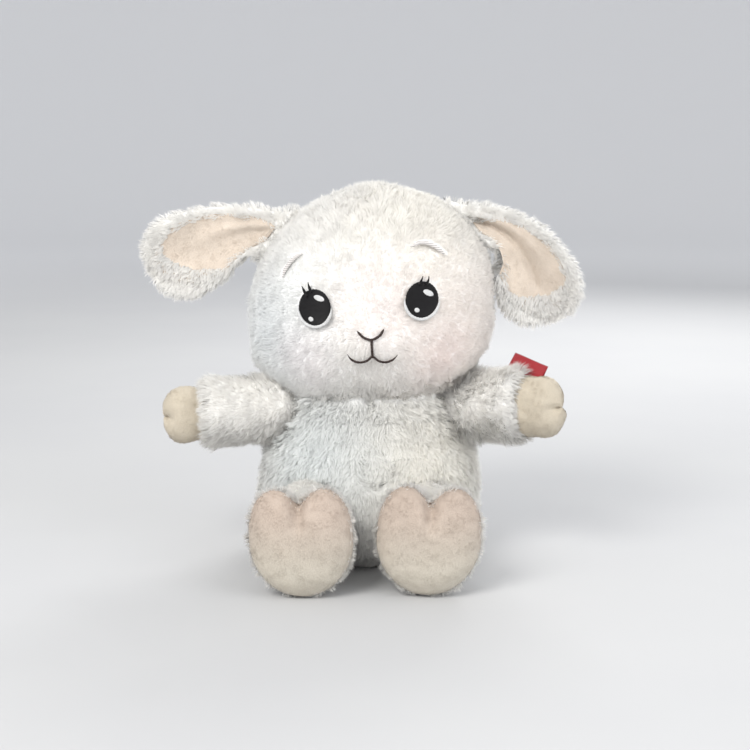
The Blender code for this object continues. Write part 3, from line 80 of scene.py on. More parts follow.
FOOT_SHARES = [(0, .62, .45), (.07, .84, .70), (.24, .97, .95), (.45, 1, 1), (.66, .95, .95),
               (.83, .80, .80), (.94, .56, .50), (.99, .27, .20), (1, .05, .05)]
FOOT_CLEFT = .36
TAIL_SHARES = [(0, .55), (.25, .90), (.50, 1), (.75, .85), (.92, .52), (.99, .24), (1, .05)]
FLAP = (.035, .012, .0265, .0885, .0095)
PAD_AT, PAD_RADIUS = (.005, .071), .0115
MODULE_BOX = (-.0326, .0164, .0294), (.0326, .0472, .0851)
MOUTH = [(.0326, .0294), (.0326, .0757), (.0105, .0851)]
CLEARANCE, FLOOR_GAP = .0003, .0004

# Places on the dressed toy: the shown parts of the ears' linings, the brows and the neck's fabric
LININGS = {"right": [(.05, -.20, .20), (.15, -.58, .52), (.30, -.70, .72), (.45, -.60, .74), (.60, -.45, .72),
                     (.72, -.25, .62), (.80, .02, .46), (.84, .22, .24), (1, .6, -.6)],
           "left": [(.05, -.20, .15), (.15, -.66, .32), (.30, -.84, .47), (.45, -.80, .62), (.60, -.66, .72),
                    (.70, -.46, .70), (.76, -.22, .55), (.80, .10, .16), (1, .6, -.6)]}
BROWS = {"right": [(-.0560, .0985), (-.0525, .1050), (-.0465, .1110), (-.0405, .1140)],
         "left": [(.0300, .1130), (.0375, .1150), (.0455, .1120), (.0530, .1050)]}
COLLAR = [(.0750, .0690, .0566), (.0780, .0679, .0557), (.0820, .0658, .0545), (.0870, .0636, .0532),
          (.0930, .0610, .0520), (.1000, .0578, .0503), (.1080, .0545, .0488), (.1190, .0520, .0475)]

# Lengths of the pile, how deep skins lie inside the solids, and how far skins and their pile keep from
# the middle of an arm's ball
BODY_PILE, LIMB_PILE = .0064, .0058
HEAD_INSET, TORSO_INSET, LIMB_INSET, EAR_INSET = .0022, .0028, .0026, .0016
HEAD_CLEAR, TORSO_CLEAR, COLLAR_CLEAR = .0242, .0222, .0228
HEAD_BARE, TORSO_BARE, COLLAR_BARE = .0246, .0226, .0229

CAMERA_AT, CAMERA_TILT, CAMERA_LENS = (.004, -1.014475, .293845), 9.5125, 71.04


# Numbers

def smooth(t):
    t = np.clip(t, 0, 1)
    return t * t * (3 - 2 * t)


def bell(x, width, power=2):
    return np.exp(-(x / width) ** power)


def unit(v):
    return v / np.maximum(np.linalg.norm(v, axis=-1, keepdims=True), 1e-12)


def xyz(*parts):
    return np.stack(np.broadcast_arrays(*parts), -1)


def at(table, t, column=1):
    """A smooth curve without overshoot through one column of a share table."""
    x, y = (np.array([row[i] for row in table], float) for i in (0, column))
    h = np.diff(x)
    m = np.diff(y) / h
    d = np.r_[m[0], np.zeros(len(m) - 1), m[-1]]
    same = m[:-1] * m[1:] > 0
    a, b = 2 * h[1:] + h[:-1], h[1:] + 2 * h[:-1]
    d[1:-1][same] = (a + b)[same] / (a[same] / m[:-1][same] + b[same] / m[1:][same])
    t = np.asarray(t, float)
    i = np.clip(np.searchsorted(x, t, "right") - 1, 0, len(h) - 1)
    s = (t - x[i]) / h[i]
    return (y[i] * (1 + 2 * s) * (1 - s) ** 2 + h[i] * d[i] * s * (1 - s) ** 2
            + y[i + 1] * s * s * (3 - 2 * s) - h[i] * d[i + 1] * s * s * (1 - s))


def waves(p, size, seed, count=10):
    """Smooth noise from -1 to 1 over places, as a sum of waves in all directions."""
    rng = np.random.default_rng(seed)
    k = unit(rng.normal(size=(count, 3))) * TAU / size * rng.uniform(.6, 1.5, (count, 1))
    return np.sin(p @ k.T + rng.uniform(0, TAU, count)).sum(-1) / math.sqrt(count / 2) / 1.6


def toss(p, size, seed):
    """Smooth random directions over places."""
    return np.stack([waves(p, size, seed + i) for i in range(3)], 1)


def spaced(count, start=0.0, end=1.0):
    """Shares from start to end, closer together at both ends."""
    return start + (end - start) * (1 - np.cos(np.linspace(0, math.pi, count))) / 2


def turns(count):
    """Angles once round."""
    return np.linspace(0, TAU, count, endpoint=False)


def run_of(path):
    """The length along a path up to each of its places."""
    return np.r_[0, np.cumsum(np.linalg.norm(np.diff(path, axis=0), axis=1))]


def normals_of(grid):
    """The outward direction at each place of a closed grid of rings."""
    n = unit(np.cross(np.roll(grid, -1, 1) - np.roll(grid, 1, 1), np.gradient(grid, axis=0)))
    out = grid - grid.mean(1, keepdims=True)
    return n * (1 if (n * out).sum() > 0 else -1)


def turned(matrix, p):
    m = np.array(matrix)
    return p @ m[:3, :3].T + m[:3, 3]


def finder(points):
    """A function that gives the index of the point nearest to each place."""
    tree = kdtree.KDTree(len(points))
    for i, place in enumerate(points):
        tree.insert(place, i)
    tree.balance()
    return lambda p: np.array([tree.find(q)[1] for q in p])


def over(value, p, n):
    """What a function gives at places and their normals, or a value that is the same everywhere."""
    return value(p, n) if callable(value) else value


# Meshes and pieces

def grid_faces(rows, sides, closed=True):
    i = np.arange(rows * sides).reshape(rows, sides)
    if closed:
        i = np.concatenate([i, i[:, :1]], 1)
    return np.stack([i[:-1, :-1], i[:-1, 1:], i[1:, 1:], i[1:, :-1]], -1).reshape(-1, 4).tolist()


def ring_mesh(grid, caps=(True, True)):
    """Points and faces of a grid of closed rings, each end closed by a fan."""
    rows, sides = grid.shape[:2]
    points = grid.reshape(-1, 3)
    faces = grid_faces(rows, sides)
    for end, cap in zip((0, rows - 1), caps):
        if cap:
            middle = len(points)
            points = np.vstack([points, grid[end].mean(0)])
            ring = [end * sides + i for i in range(sides)]
            fan = [(a, b, middle) for a, b in zip(ring, ring[1:] + ring[:1])]
            faces += [face[::-1] for face in fan] if end == 0 else fan
    return points, faces


def loop_mesh(grid):
    """Points and faces of a grid of closed rings that runs round into itself."""
    rows, sides = grid.shape[:2]
    faces = grid_faces(rows + 1, sides)
    return grid.reshape(-1, 3), [tuple(v % (rows * sides) for v in f) for f in faces]


def panel_mesh(top, under):
    """Points and faces of a thin closed panel between two grids."""
    n, m = top.shape[:2]
    points = np.concatenate([top.reshape(-1, 3), under.reshape(-1, 3)])
    faces = grid_faces(n, m, False)
    faces += [[v + n * m for v in f][::-1] for f in faces]
    rim = [(0, j) for j in range(m)] + [(i, m - 1) for i in range(1, n)]
    rim += [(n - 1, j) for j in range(m - 2, -1, -1)] + [(i, 0) for i in range(n - 2, 0, -1)]
    rim = [i * m + j for i, j in rim]
    faces += [(b, a, a + n * m, b + n * m) for a, b in zip(rim, rim[1:] + rim[:1])]
    return points, faces


def arrays_of(mesh):
    """Points and triangles of a mesh."""
    co = np.empty(len(mesh.vertices) * 3)
    mesh.vertices.foreach_get("co", co)
    mesh.calc_loop_triangles()
    tri = np.empty(len(mesh.loop_triangles) * 3, int)
    mesh.loop_triangles.foreach_get("vertices", tri)
    return co.reshape(-1, 3), tri.reshape(-1, 3)


def out_facing(mesh):
    """Turns the faces out by the sign of the enclosed volume."""
    co, tri = arrays_of(mesh)
    a, b, c = (co[k] - co.mean(0) for k in tri.T)
    if (a * np.cross(b, c)).sum() < 0:
        mesh.flip_normals()


def link(name, data):
    made = bpy.data.objects.new(name, data)
    bpy.context.scene.collection.objects.link(made)
    return made


def hold(made, body):
    """Makes a piece ride on a body; where body is (first, second, start, end), its placing is only baked into its
    mesh.
    """
    if isinstance(body, str):
        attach(made, body)
    else:
        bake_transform(made)


def piece(name, points, faces, body, material, stands_for=(), fill=None, turn_out=True):
    mesh = bpy.data.meshes.new(name)
    mesh.from_pydata(np.asarray(points).tolist(), [], faces)
    mesh.validate()
    if turn_out:
        out_facing(mesh)
    mesh.shade_smooth()
    mesh.materials.append(material)
    made = link(name, mesh)
    hold(made, body)
    if stands_for:
        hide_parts(*stands_for)
    return made


def pile(name, skin, body, density, length, lean, flow, keep=None, seed=1, width=.00050, clump=.4,
         floor=False, material=None):
    """Short plush pile on a skin: flat bent strands that lie along the flow, in small tufts.

    density is in strands per square millimetre. keep is a function of places and their normals, and
    length, lean in radians from upright and flow are functions of these or plain values."""
    rng = np.random.default_rng(seed)
    co, tri = arrays_of(skin.data)
    no = np.empty(co.size)
    skin.data.vertices.foreach_get("normal", no)
    no = no.reshape(-1, 3)
    corners = co[tri]
    area = np.linalg.norm(np.cross(corners[:, 1] - corners[:, 0], corners[:, 2] - corners[:, 0]), axis=1) / 2
    count = int(area.sum() * density * 1e6)
    pick = np.searchsorted(np.cumsum(area) / area.sum(), rng.random(count)).clip(0, len(tri) - 1)
    u, v = rng.random((2, count, 1))
    flip = u + v > 1
    u, v = np.where(flip, 1 - u, u), np.where(flip, 1 - v, v)
    w = 1 - u - v
    root = corners[pick, 0] * w + corners[pick, 1] * u + corners[pick, 2] * v
    out = unit(no[tri[pick, 0]] * w + no[tri[pick, 1]] * u + no[tri[pick, 2]] * v)
    if keep is not None:
        stay = rng.random(count) < keep(root, out)
        root, out = root[stay], out[stay]
    count = len(root)

    # The strands' directions, lengths and leans, each with slow waves and a spread of its own
    comb = over(flow, root, out)
    comb = unit(comb - out * (comb * out).sum(1, keepdims=True))
    side = np.cross(out, comb)
    swing = (waves(root, .016, seed + 1) * .42 + rng.normal(0, .30, count))[:, None]
    comb = comb * np.cos(swing) + side * np.sin(swing)
    reach = over(length, root, out) * rng.uniform(.72, 1.12, count) * (1 + .16 * waves(root, .009, seed + 2))
    reach = reach[:, None]
    angle = (over(lean, root, out) + waves(root, .011, seed + 3) * .16 + rng.normal(0, .10, count))[:, None]
    first = out * np.cos(angle * .72) + comb * np.sin(angle * .72)
    last = out * np.cos(angle * 1.24) + comb * np.sin(angle * 1.24)
    root = root - out * .0004
    middle = root + first * reach * .52
    tip = middle + last * reach * .48

    # Tufts: each strand is drawn towards the nearest of a few heads
    heads = rng.choice(count, max(count // 14, 1), replace=False)
    near = heads[finder(root[heads])(root)]
    pull = clump * rng.uniform(.5, 1.2, (count, 1))
    middle += (middle[near] - middle) * pull * .35
    tip += (tip[near] - tip) * pull
    if floor:
        for p in (root, middle, tip):
            p[:, 2] = np.maximum(p[:, 2], .0004 + rng.random(count) * .0006)

    # A strand is a quad and a triangle, shaded mostly by the skin's own direction
    across = unit(np.cross(last, out) + out * rng.normal(0, .25, (count, 1)))
    half = width / 2 * rng.uniform(.75, 1.3, (count, 1))
    places = np.stack([root - across * half, root + across * half, middle + across * half * .9,
                       middle - across * half * .9, tip], 1)
    facing = unit(np.cross(across, tip - root))
    facing *= np.sign((facing * out).sum(1, keepdims=True) + 1e-9)
    low, soft, high = (unit(out * a + facing * b) for a, b in ((.8, .2), (.62, .38), (.45, .55)))
    shade = np.stack([low] * 2 + [soft] * 2 + [high], 1)
    mesh = bpy.data.meshes.new(name)
    base = np.arange(count)[:, None]
    loops = (base * 5 + np.array([0, 1, 2, 3, 3, 2, 4])).ravel()
    mesh.vertices.add(count * 5)
    mesh.vertices.foreach_set("co", places.ravel())
    mesh.loops.add(len(loops))
    mesh.loops.foreach_set("vertex_index", loops)
    mesh.polygons.add(count * 2)
    mesh.polygons.foreach_set("loop_start", (base * 7 + np.array([0, 4])).ravel())

    # Places for baking: unrolled round the piece's upright middle line
    layer = mesh.uv_layers.new(name="OFBake")
    axis = root.mean(0)
    turn = np.arctan2(root[:, 1] - axis[1], root[:, 0] - axis[0])
    bottom, top = root[:, 2].min(), root[:, 2].max()
    level = np.stack([-np.sin(turn), np.cos(turn), np.zeros(count)], 1)
    du = ((places - root[:, None]) * level[:, None]).sum(-1)
    u = (turn / TAU + .5)[:, None] * .96 + .02 + du / (TAU * .09)
    v = (places[..., 2] - bottom) / (top - bottom) * .96 + .02
    layer.data.foreach_set("uv", np.clip(np.stack([u, v], -1).reshape(-1, 2)[loops], 0, 1).ravel())
    mesh.update(calc_edges=True)
    mesh.shade_smooth()
    mesh.normals_split_custom_set_from_vertices(shade.reshape(-1, 3))
    material = material or PILES[skin.data.materials[0].name]
    mesh.materials.append(material)
    made = link(name, mesh)
    hold(made, body)
    slot_of(material)


def nap(name, made, body, material, comb, keep=None, seed=1):
    """The short brushed nap of a velour panel."""
    pile(name, made, body, 2.4, .0013, 1.0, comb, keep, seed, .00030, .2, material=material)


# Materials

SLOTS = {"plush": "white_plush", "velour": "brown_velour", "thread_black": "black_thread",
         "thread_white": "white_thread", "thread_dark": "dark_thread", "thread_brow": "dark_thread",
         "cloth": "lining_cloth", "ribbon": "red_ribbon"}


def slot_of(material):
    """The record's slot for a material, by its name or the name's first word."""
    return SLOTS.get(material.name) or SLOTS[material.name.split("_")[0]]


def darker(base, share):
    return tuple(c * share for c in base)


class Look:
    """A new material, with uniform values on its shader's own sockets."""

    def __init__(self, name, **values):
        self.made = bpy.data.materials.new(name)
        self.made.use_nodes = True
        self.tree = self.made.node_tree
        self.shader = self.tree.nodes["Principled BSDF"]
        for key, value in values.items():
            self.shader.inputs[key.replace("_", " ").title().replace("Ior", "IOR")].default_value = value
        self.place = self.node("TexCoord").outputs["Object"]

    def node(self, kind, inputs=(), **settings):
        made = self.tree.nodes.new("ShaderNode" + kind)
        for key, value in settings.items():
            setattr(made, key, value)
        for key, value in dict(inputs).items():
            if isinstance(value, bpy.types.NodeSocket):
                self.tree.links.new(value, made.inputs[key])
            else:
                made.inputs[key].default_value = value
        return made

    def noise(self, scale, detail=3, rough=.55):
        inputs = {"Vector": self.place, "Scale": scale, "Detail": detail, "Roughness": rough}
        return self.node("TexNoise", inputs).outputs["Fac"]

    def bands(self, way, scale, **inputs):
        inputs = {key.replace("_", " ").title(): value for key, value in inputs.items()}
        inputs.update({"Vector": self.place, "Scale": scale})
        return self.node("TexWave", inputs, bands_direction=way).outputs["Fac"]

    def spread(self, value, low, high, start=0.0, end=1.0):
        inputs = {"Value": value, "From Min": low, "From Max": high, "To Min": start, "To Max": end}
        return self.node("MapRange", inputs, interpolation_type="SMOOTHSTEP").outputs["Result"]

    def mix(self, factor, a, b):
        inputs = {0: factor, 6: a, 7: b}
        inputs = {key: (*value, 1) if isinstance(value, tuple) else value for key, value in inputs.items()}
        return self.node("Mix", inputs, data_type="RGBA", blend_type="MIX").outputs[2]

    def finish(self, colour, height=None, distance=0.0, strength=1.0):
        """Sets the colour and, where there is a height, the bump."""
        self.tree.links.new(colour, self.shader.inputs["Base Color"])
        if height is not None:
            made = self.node("Bump", {"Height": height, "Distance": distance, "Strength": strength})
            self.tree.links.new(made.outputs["Normal"], self.shader.inputs["Normal"])
        return self.made


def plush(name, tints=(), base=(.95, .938, .912), through=0.0):
    """White pile: soft mottling, and tints of painted glow from the lamps inside, as (middle, radius, colour,
    share).

    through is the share of the light that strands let through."""
    look = Look(name, roughness=.95, specular_ior_level=.10, sheen_weight=.45, sheen_roughness=.6)
    colour = look.mix(look.spread(look.noise(70), .35, .7), base, darker(base, .93))
    # Painted glow: each tint is mixed into the colour by nearness to its middle
    for middle, radius, tint, share in tints:
        away = look.node("VectorMath", {0: look.place, 1: middle}, operation="DISTANCE").outputs["Value"]
        colour = look.mix(look.spread(away, radius, 0, 0, share), colour, tint)
    if not through:
        return look.finish(colour, look.noise(420, 4), .0012, .8)
    behind = look.node("BsdfTranslucent", {"Color": colour})
    both = look.node("MixShader", {0: through, 1: look.shader.outputs["BSDF"], 2: behind.outputs["BSDF"]})
    look.tree.links.new(both.outputs[0], look.tree.nodes["Material Output"].inputs["Surface"])
    return look.finish(colour)


def velour(name, base, low_tint=None):
    """Short brushed nap: soft pressed patches, a fine grain and a pale sheen, tinted near the floor."""
    look = Look(name, roughness=.9, specular_ior_level=.15, sheen_weight=.35, sheen_roughness=.4,
                sheen_tint=(1, .96, .90, 1))
    patches = look.spread(look.noise(38, 3, .5), .35, .68)
    colour = look.mix(patches, darker(base, .93), tuple(min(c * 1.05, 1) for c in base))
    if low_tint:
        height = look.node("SeparateXYZ", {0: look.place}).outputs["Z"]
        colour = look.mix(look.spread(height, .062, .012, 0, .9), colour, low_tint)
    grain = look.noise(1500, 2, .7)
    colour = look.mix(look.spread(grain, .3, .75, 0, .35), colour, darker(base, .62))
    return look.finish(colour, grain, .00035, .7)


def thread(name, base, scale=2600, gloss=.45):
    """Satin stitches: fine parallel threads, with painted shade in the grooves between them."""
    look = Look(name, roughness=gloss, specular_ior_level=.25)
    rows = look.bands("Z", scale / 6.3, distortion=1.2, detail=1.5, detail_scale=1.0)
    # Painted shade: darker where the bump is low, in the grooves between the threads
    return look.finish(look.mix(look.spread(rows, 0, 1), darker(base, .55), base), rows, .00025, .8)


def weave(name, base, scale, **values):
    """Plain woven cloth or ribbon: two crossed sets of threads, with painted shade in the gaps between them."""
    look = Look(name, roughness=.8, specular_ior_level=.25, **values)
    sets = {i: look.bands(way, scale, distortion=.6, detail=1) for i, way in enumerate("XZ")}
    rows = look.node("Math", sets, operation="MULTIPLY").outputs[0]
    # Painted shade: darker where the bump is low, in the gaps between the threads
    return look.finish(look.mix(look.spread(rows, 0, .8), darker(base, .6), base), rows, .0003, .8)


def moulded(name, base, grain=900, depth=.00006, wear=.9, **values):
    """Moulded or coated surface: a slight grain and an uneven tone."""
    look = Look(name, **values)
    colour = look.mix(look.spread(look.noise(60), .3, .7), darker(base, wear), base)
    return look.finish(colour, look.noise(grain), depth, .6)


# Painted glow of the lamps inside, on the head: bluish at -x, warm at +x and on the crown, pink between the eyes;
# the pink cheek spots are partly a faint blush
HEAD_GLOW_AND_BLUSH = [((-.082, -.035, .160), .090, (.80, .89, .97), .27),
              ((.062, -.045, .165), .090, (.98, .87, .80), .36),
              ((.040, -.030, .240), .085, (.98, .93, .82), .24),
              ((.004, -.072, .180), .050, (.97, .87, .85), .30),
              ((-.043, -.058, .143), .038, (.94, .86, .88), .26),
              ((.052, -.055, .143), .038, (.98, .84, .80), .34)]
# Painted glow of the lamps inside, on the torso: bluish at -x, warm at +x
BODY_GLOW = [((-.050, -.060, .075), .095, (.85, .93, .96), .34),
              ((.058, -.050, .070), .095, (.98, .95, .85), .34)]
WHITE_HEAD = plush("plush_head", HEAD_GLOW_AND_BLUSH)
WHITE_BODY = plush("plush_body", BODY_GLOW)
WHITE_LIMB = plush("plush_limb")
PILES = {skin.name: plush(skin.name + "_pile", tints, through=.48)
         for skin, tints in ((WHITE_HEAD, HEAD_GLOW_AND_BLUSH), (WHITE_BODY, BODY_GLOW), (WHITE_LIMB, ()))}
VELOUR = velour("velour_ear", (.73, .63, .53))
VELOUR_HAND = velour("velour_hand", (.62, .55, .44))
VELOUR_SOLE = velour("velour_sole", (.56, .46, .385), (.64, .60, .51))
BLACK = thread("thread_black", (.008, .007, .008), gloss=.42)
WHITE_THREAD = thread("thread_white", (.88, .88, .87))
DARK = thread("thread_dark", (.045, .028, .024), scale=1500)
BROW = thread("thread_brow", (.86, .82, .79), scale=1500, gloss=.8)
CLOTH = weave("cloth_rim", (.76, .76, .74), 420)
RED = weave("ribbon_red", (.55, .035, .045), 700, sheen_weight=.3)


# Head and torso

def from_balls(p):
    """The distance to the middle of the nearer arm's ball."""
    return np.min([np.linalg.norm(p - np.array(arm[1]), axis=-1) for arm in ARMS.values()], axis=0)


def clear_balls(grid, radius):
    """Pushes places out of the arms' balls."""
    for _, pivot, _, _ in ARMS.values():
        off = grid - np.array(pivot)
        far = np.linalg.norm(off, axis=-1, keepdims=True)
        grid = np.where(far < radius, np.array(pivot) + off / far * radius, grid)
    return grid


def by_arms(p):
    """One beside an arm's ball, and nought a centimetre away."""
    return smooth((.037 - from_balls(p)) / .012)


def neck_ball(radius, start, end, count):
    """Rings of the neck's ball between two heights in degrees."""
    up, angle = np.radians(np.linspace(start, end, count))[:, None], turns(144)
    return radius * xyz(np.cos(up) * np.cos(angle), np.cos(up) * np.sin(angle), np.sin(up)) + np.array(NECK)


HEAD_MATRIX = (Matrix.Translation(HEAD_AT + Vector((0, 0, HEAD[2] / 2)))
               @ Matrix.Rotation(math.radians(-HEAD_TURNS[0]), 4, "Y")
               @ Matrix.Rotation(math.radians(-HEAD_TURNS[1]), 4, "Z")
               @ Matrix.Translation((0, 0, -HEAD[2] / 2)))


def muzzle(side, height):
    return .006 * np.exp(-(side / .030) ** 2 - ((height - .049) / .017) ** 2)


def drift(height):
    return HEAD_UPRIGHT * (height - HEAD[2] / 2)


def face_at(side, height, stand=0.0):
    """Places on the face, across and up from the head's lowest middle, standing off by some."""
    side, height = np.broadcast_arrays(np.asarray(side, float), np.asarray(height, float))
    share = height / HEAD[2]
    across = (side - drift(height)) / (HEAD[0] / 2 * at(HEAD_SHARES, share))
    front = (HEAD[1] / 2 * at(HEAD_SHARES, share, 2) * np.sqrt(np.maximum(1 - across ** 2, 0))
             + muzzle(side, height))
    return turned(HEAD_MATRIX, np.stack([side, -front - stand, height], -1))


def head_local(p):
    return turned(HEAD_MATRIX.inverted(), p)


def make_head():
    share, angle = spaced(96, .035, 1), turns(144)
    level = (share * HEAD[2])[:, None]
    x = drift(level) + HEAD[0] / 2 * at(HEAD_SHARES, share)[:, None] * np.cos(angle)
    y = HEAD[1] / 2 * at(HEAD_SHARES, share, 2)[:, None] * np.sin(angle)
    y = np.where(y < 0, y - muzzle(x, level), y)
    grid = turned(HEAD_MATRIX, xyz(x, y, level))
    out = normals_of(grid)
    grid = grid - out * HEAD_INSET
    grid = grid + out * (waves(grid, .050, 3) * .0007 + waves(grid, .020, 4) * .00025)[..., None]
    skin = np.concatenate([neck_ball(.0408, 88, 6, 9), clear_balls(grid, HEAD_CLEAR)])
    made = piece("head_skin", *ring_mesh(skin), "head", WHITE_HEAD, ["head"], fill=.85)
    eyes = [(-.0350, .0794), (.0354, .0790)]
    nose = np.array(face_at(.001, .058))

    def front(p, n):
        return smooth((-n[:, 1] - .10) / .45) * smooth((.128 - head_local(p)[:, 2]) / .022)

    def crown(p):
        return smooth((head_local(p)[:, 2] - .114) / .034)

    def chin(p):
        return smooth((.030 - head_local(p)[:, 2]) / .016)

    def side(p, n):
        return smooth((np.abs(n[:, 0]) - .55) / .35)

    def tuft(p):
        return crown(p) * np.exp(-((p[:, 0] + .003) / .011) ** 2 - ((p[:, 1] + .004) / .030) ** 2)

    def keep(p, n):
        local = head_local(p)
        stay = np.where(np.linalg.norm(p - np.array(NECK), axis=1) < .0445, 0.0, 1.0)
        stay *= from_balls(p) > HEAD_BARE
        for x, z in eyes:
            off = ((local[:, 0] - x) / .0106) ** 2 + ((local[:, 2] - z) / .0116) ** 2
            stay *= (off > 1) | (local[:, 1] > 0)
        for brow in BROWS.values():
            near = [np.hypot(local[:, 0] - x, local[:, 2] - z) for x, z in through(brow, .0012)]
            stay *= (np.min(near, axis=0) > .0011) | (local[:, 1] > 0)
        return stay

    def flow(p, n):
        c, low = crown(p)[:, None], chin(p)[:, None]
        back = smooth((p[:, 1:2] + .02) / .07)
        tossed = toss(p, .012, 21)
        combed = unit(p - nose) + DOWN * (.15 + .75 * back * (1 - c)) + tossed * (.12 + .55 * c)
        return combed * (1 - low) + (unit(p * np.array([1, 1, 0])) + DOWN * 1.4 + tossed * .8) * low

    def length(p, n):
        high = crown(p) * (1 - .7 * smooth((p[:, 0] - .006) / .02))
        return (BODY_PILE - .0024 * front(p, n) + .0022 * high + .0010 * tuft(p) + .0030 * chin(p)
                + .0016 * side(p, n) * (p[:, 0] < 0))

    def lean(p, n):
        return 1.0 + .16 * front(p, n) - .14 * crown(p) - .34 * chin(p) - .30 * side(p, n) - .12 * tuft(p)

    for tag, half, density, width in (("front", -1, 1.6, .00045), ("back", 1, 1.1, .00052)):
        pile("head_pile_" + tag, made, "head", density, length, lean, flow,
             lambda p, n, half=half: keep(p, n) * (half * (p[:, 1] + .004) > 0), seed=40 + half, width=width)


def torso_back(x, z):
    """Half depth of the torso at places across and up."""
    share = z / TORSO[2]
    across = x / (TORSO[0] / 2 * at(TORSO_SHARES, share))
    return TORSO[1] / 2 * at(TORSO_SHARES, share, 2) * np.sqrt(np.maximum(1 - across ** 2, 0))


def flap_side(z):
    """Half width of the flap at heights."""
    half, tab, _, high, shoulder = FLAP
    return np.where(z < high - shoulder, half, half + (tab - half) * (z - high + shoulder) / shoulder)


def in_flap(p, grow):
    low, high = FLAP[2:4]
    return ((p[:, 1] > 0) & (np.abs(p[:, 0]) < flap_side(p[:, 2]) + grow) & (p[:, 2] > low - grow)
            & (p[:, 2] < high + grow))


def mouth_outline():
    """The pocket's mouth as (across, up) corners."""
    mouth = np.array(MOUTH)
    return np.concatenate([mouth, mouth[::-1] * np.array([-1, 1])])


def box_faces(low, high):
    corners = [(x, y, z) for x in (low[0], high[0]) for y in (low[1], high[1]) for z in (low[2], high[2])]
    return corners, [(0, 1, 3, 2), (4, 6, 7, 5), (0, 4, 5, 1), (2, 3, 7, 6), (0, 2, 6, 4), (1, 5, 7, 3)]


def prism_faces(x, z, depths):
    """A closed form with one outline at several depths."""
    return ring_mesh(np.stack([xyz(x, y, z) for y in depths]))


def cut_from(made, points, faces):
    """Takes a closed form out of the piece, with the cut kept in its mesh."""
    mesh = bpy.data.meshes.new("cut")
    mesh.from_pydata([tuple(p) for p in points], [], faces)
    out_facing(mesh)
    tool = link("cut", mesh)
    change = made.modifiers.new("cut", "BOOLEAN")
    change.operation, change.object, change.solver = "DIFFERENCE", tool, "EXACT"
    graph_now = bpy.context.evaluated_depsgraph_get()
    fresh = bpy.data.meshes.new_from_object(made.evaluated_get(graph_now))
    made.modifiers.clear()
    made.data = fresh
    fresh.shade_smooth()
    fresh.set_sharp_from_angle(angle=math.radians(50))
    bpy.data.objects.remove(tool)


def make_torso():
    share, angle = spaced(60)[:-1], turns(144)
    rings = xyz(TORSO[0] / 2 * at(TORSO_SHARES, share)[:, None] * np.cos(angle),
                TORSO[1] / 2 * at(TORSO_SHARES, share, 2)[:, None] * np.sin(angle), (TORSO[2] * share)[:, None])
    out = normals_of(rings)
    rings = rings - out * (TORSO_INSET * smooth(rings[..., 2:] / .006) + .0004)
    rings = rings + out * (waves(rings, .055, 5) * .0008 + waves(rings, .022, 6) * .0003)[..., None]
    rings = clear_balls(rings, TORSO_CLEAR)
    for _, pivot, _, _ in LEGS.values():
        off = rings - np.array(pivot)
        radius = LEG_BALL + .0007
        inside = (np.linalg.norm(off, axis=-1) < radius) & (rings[..., 1] < pivot.y + .02)
        back = pivot.y + np.sqrt(np.maximum(radius ** 2 - off[..., 0] ** 2 - off[..., 2] ** 2, 0))
        rings[..., 1] = np.where(inside, np.maximum(rings[..., 1], back), rings[..., 1])
    rings[..., 2] = np.maximum(rings[..., 2], FLOOR_GAP)
    skin = np.concatenate([rings, neck_ball(NECK_RADIUS, 0, 86, 10)])
    made = piece("torso_skin", *ring_mesh(skin), "torso", WHITE_BODY, ["torso"])
    cut_from(made, *box_faces(*MODULE_BOX))
    cut_from(made, *prism_faces(*mouth_outline().T, (.0300, .09)))
    angle, radius = turns(40), PAD_RADIUS + .0006
    front = torso_back(*PAD_AT)
    cut_from(made, *prism_faces(PAD_AT[0] + radius * np.cos(angle), PAD_AT[1] + radius * np.sin(angle),
                                (-front - .02, -front + .0068)))

    def bare(p):
        off = in_flap(p, .0002) | (p[:, 2] < .0006) | (p[:, 2] > .0930) | (from_balls(p) < TORSO_BARE)
        for side, pivot, turn, lift in LEGS.values():
            aim = np.array(limb_way(side, turn, lift, (0, -1, 0)))
            d = p - np.array(pivot)
            along = d @ aim
            away = np.linalg.norm(d - along[:, None] * aim, axis=1)
            off |= (away < LEG_RADIUS * .95) & (along > -.005)
            off |= np.linalg.norm(d, axis=1) < LEG_BALL + .0012
        off |= (np.hypot(p[:, 0] - PAD_AT[0], p[:, 2] - PAD_AT[1]) < radius) & (p[:, 1] < 0)
        return np.where(off, 0.0, 1 - smooth((p[:, 2] - .0800) / .0125))

    def off_pad(p):
        return p - np.array([PAD_AT[0], -front, PAD_AT[1]])

    def by_pad(p):
        """One at the soft spot's edge on the belly, and nought half a centimetre away."""
        return smooth((PAD_RADIUS + .0060 - np.linalg.norm(off_pad(p), axis=1)) / .0050)

    def flow(p, n):
        return hanging(p, by_arms(p)) - unit(off_pad(p)) * by_pad(p)[:, None] * 1.5

    def length(p, n):
        return BODY_PILE + .0018 * by_arms(p) + .0014 * in_flap(p, .0045) + .0008 * by_pad(p)

    def lean(p, n):
        return (.98 - .22 * smooth((np.abs(n[:, 0]) - .6) / .3) - .30 * by_arms(p) - .30 * in_flap(p, .0045)
                - .12 * by_pad(p))

    for tag, half, density in (("front", -1, 1.5), ("back", 1, 1.1)):
        pile("torso_pile_" + tag, made, "torso", density, length, lean, flow,
             lambda p, n, half=half: bare(p) * (half * p[:, 1] > 0), seed=50 + half, floor=True)


def hanging(p, loose):
    """The body's flow: down, and tossed where the pile is loose."""
    return DOWN + (.15 * toss(p, .03, 31) + .7 * toss(p, .009, 34) * loose[:, None])


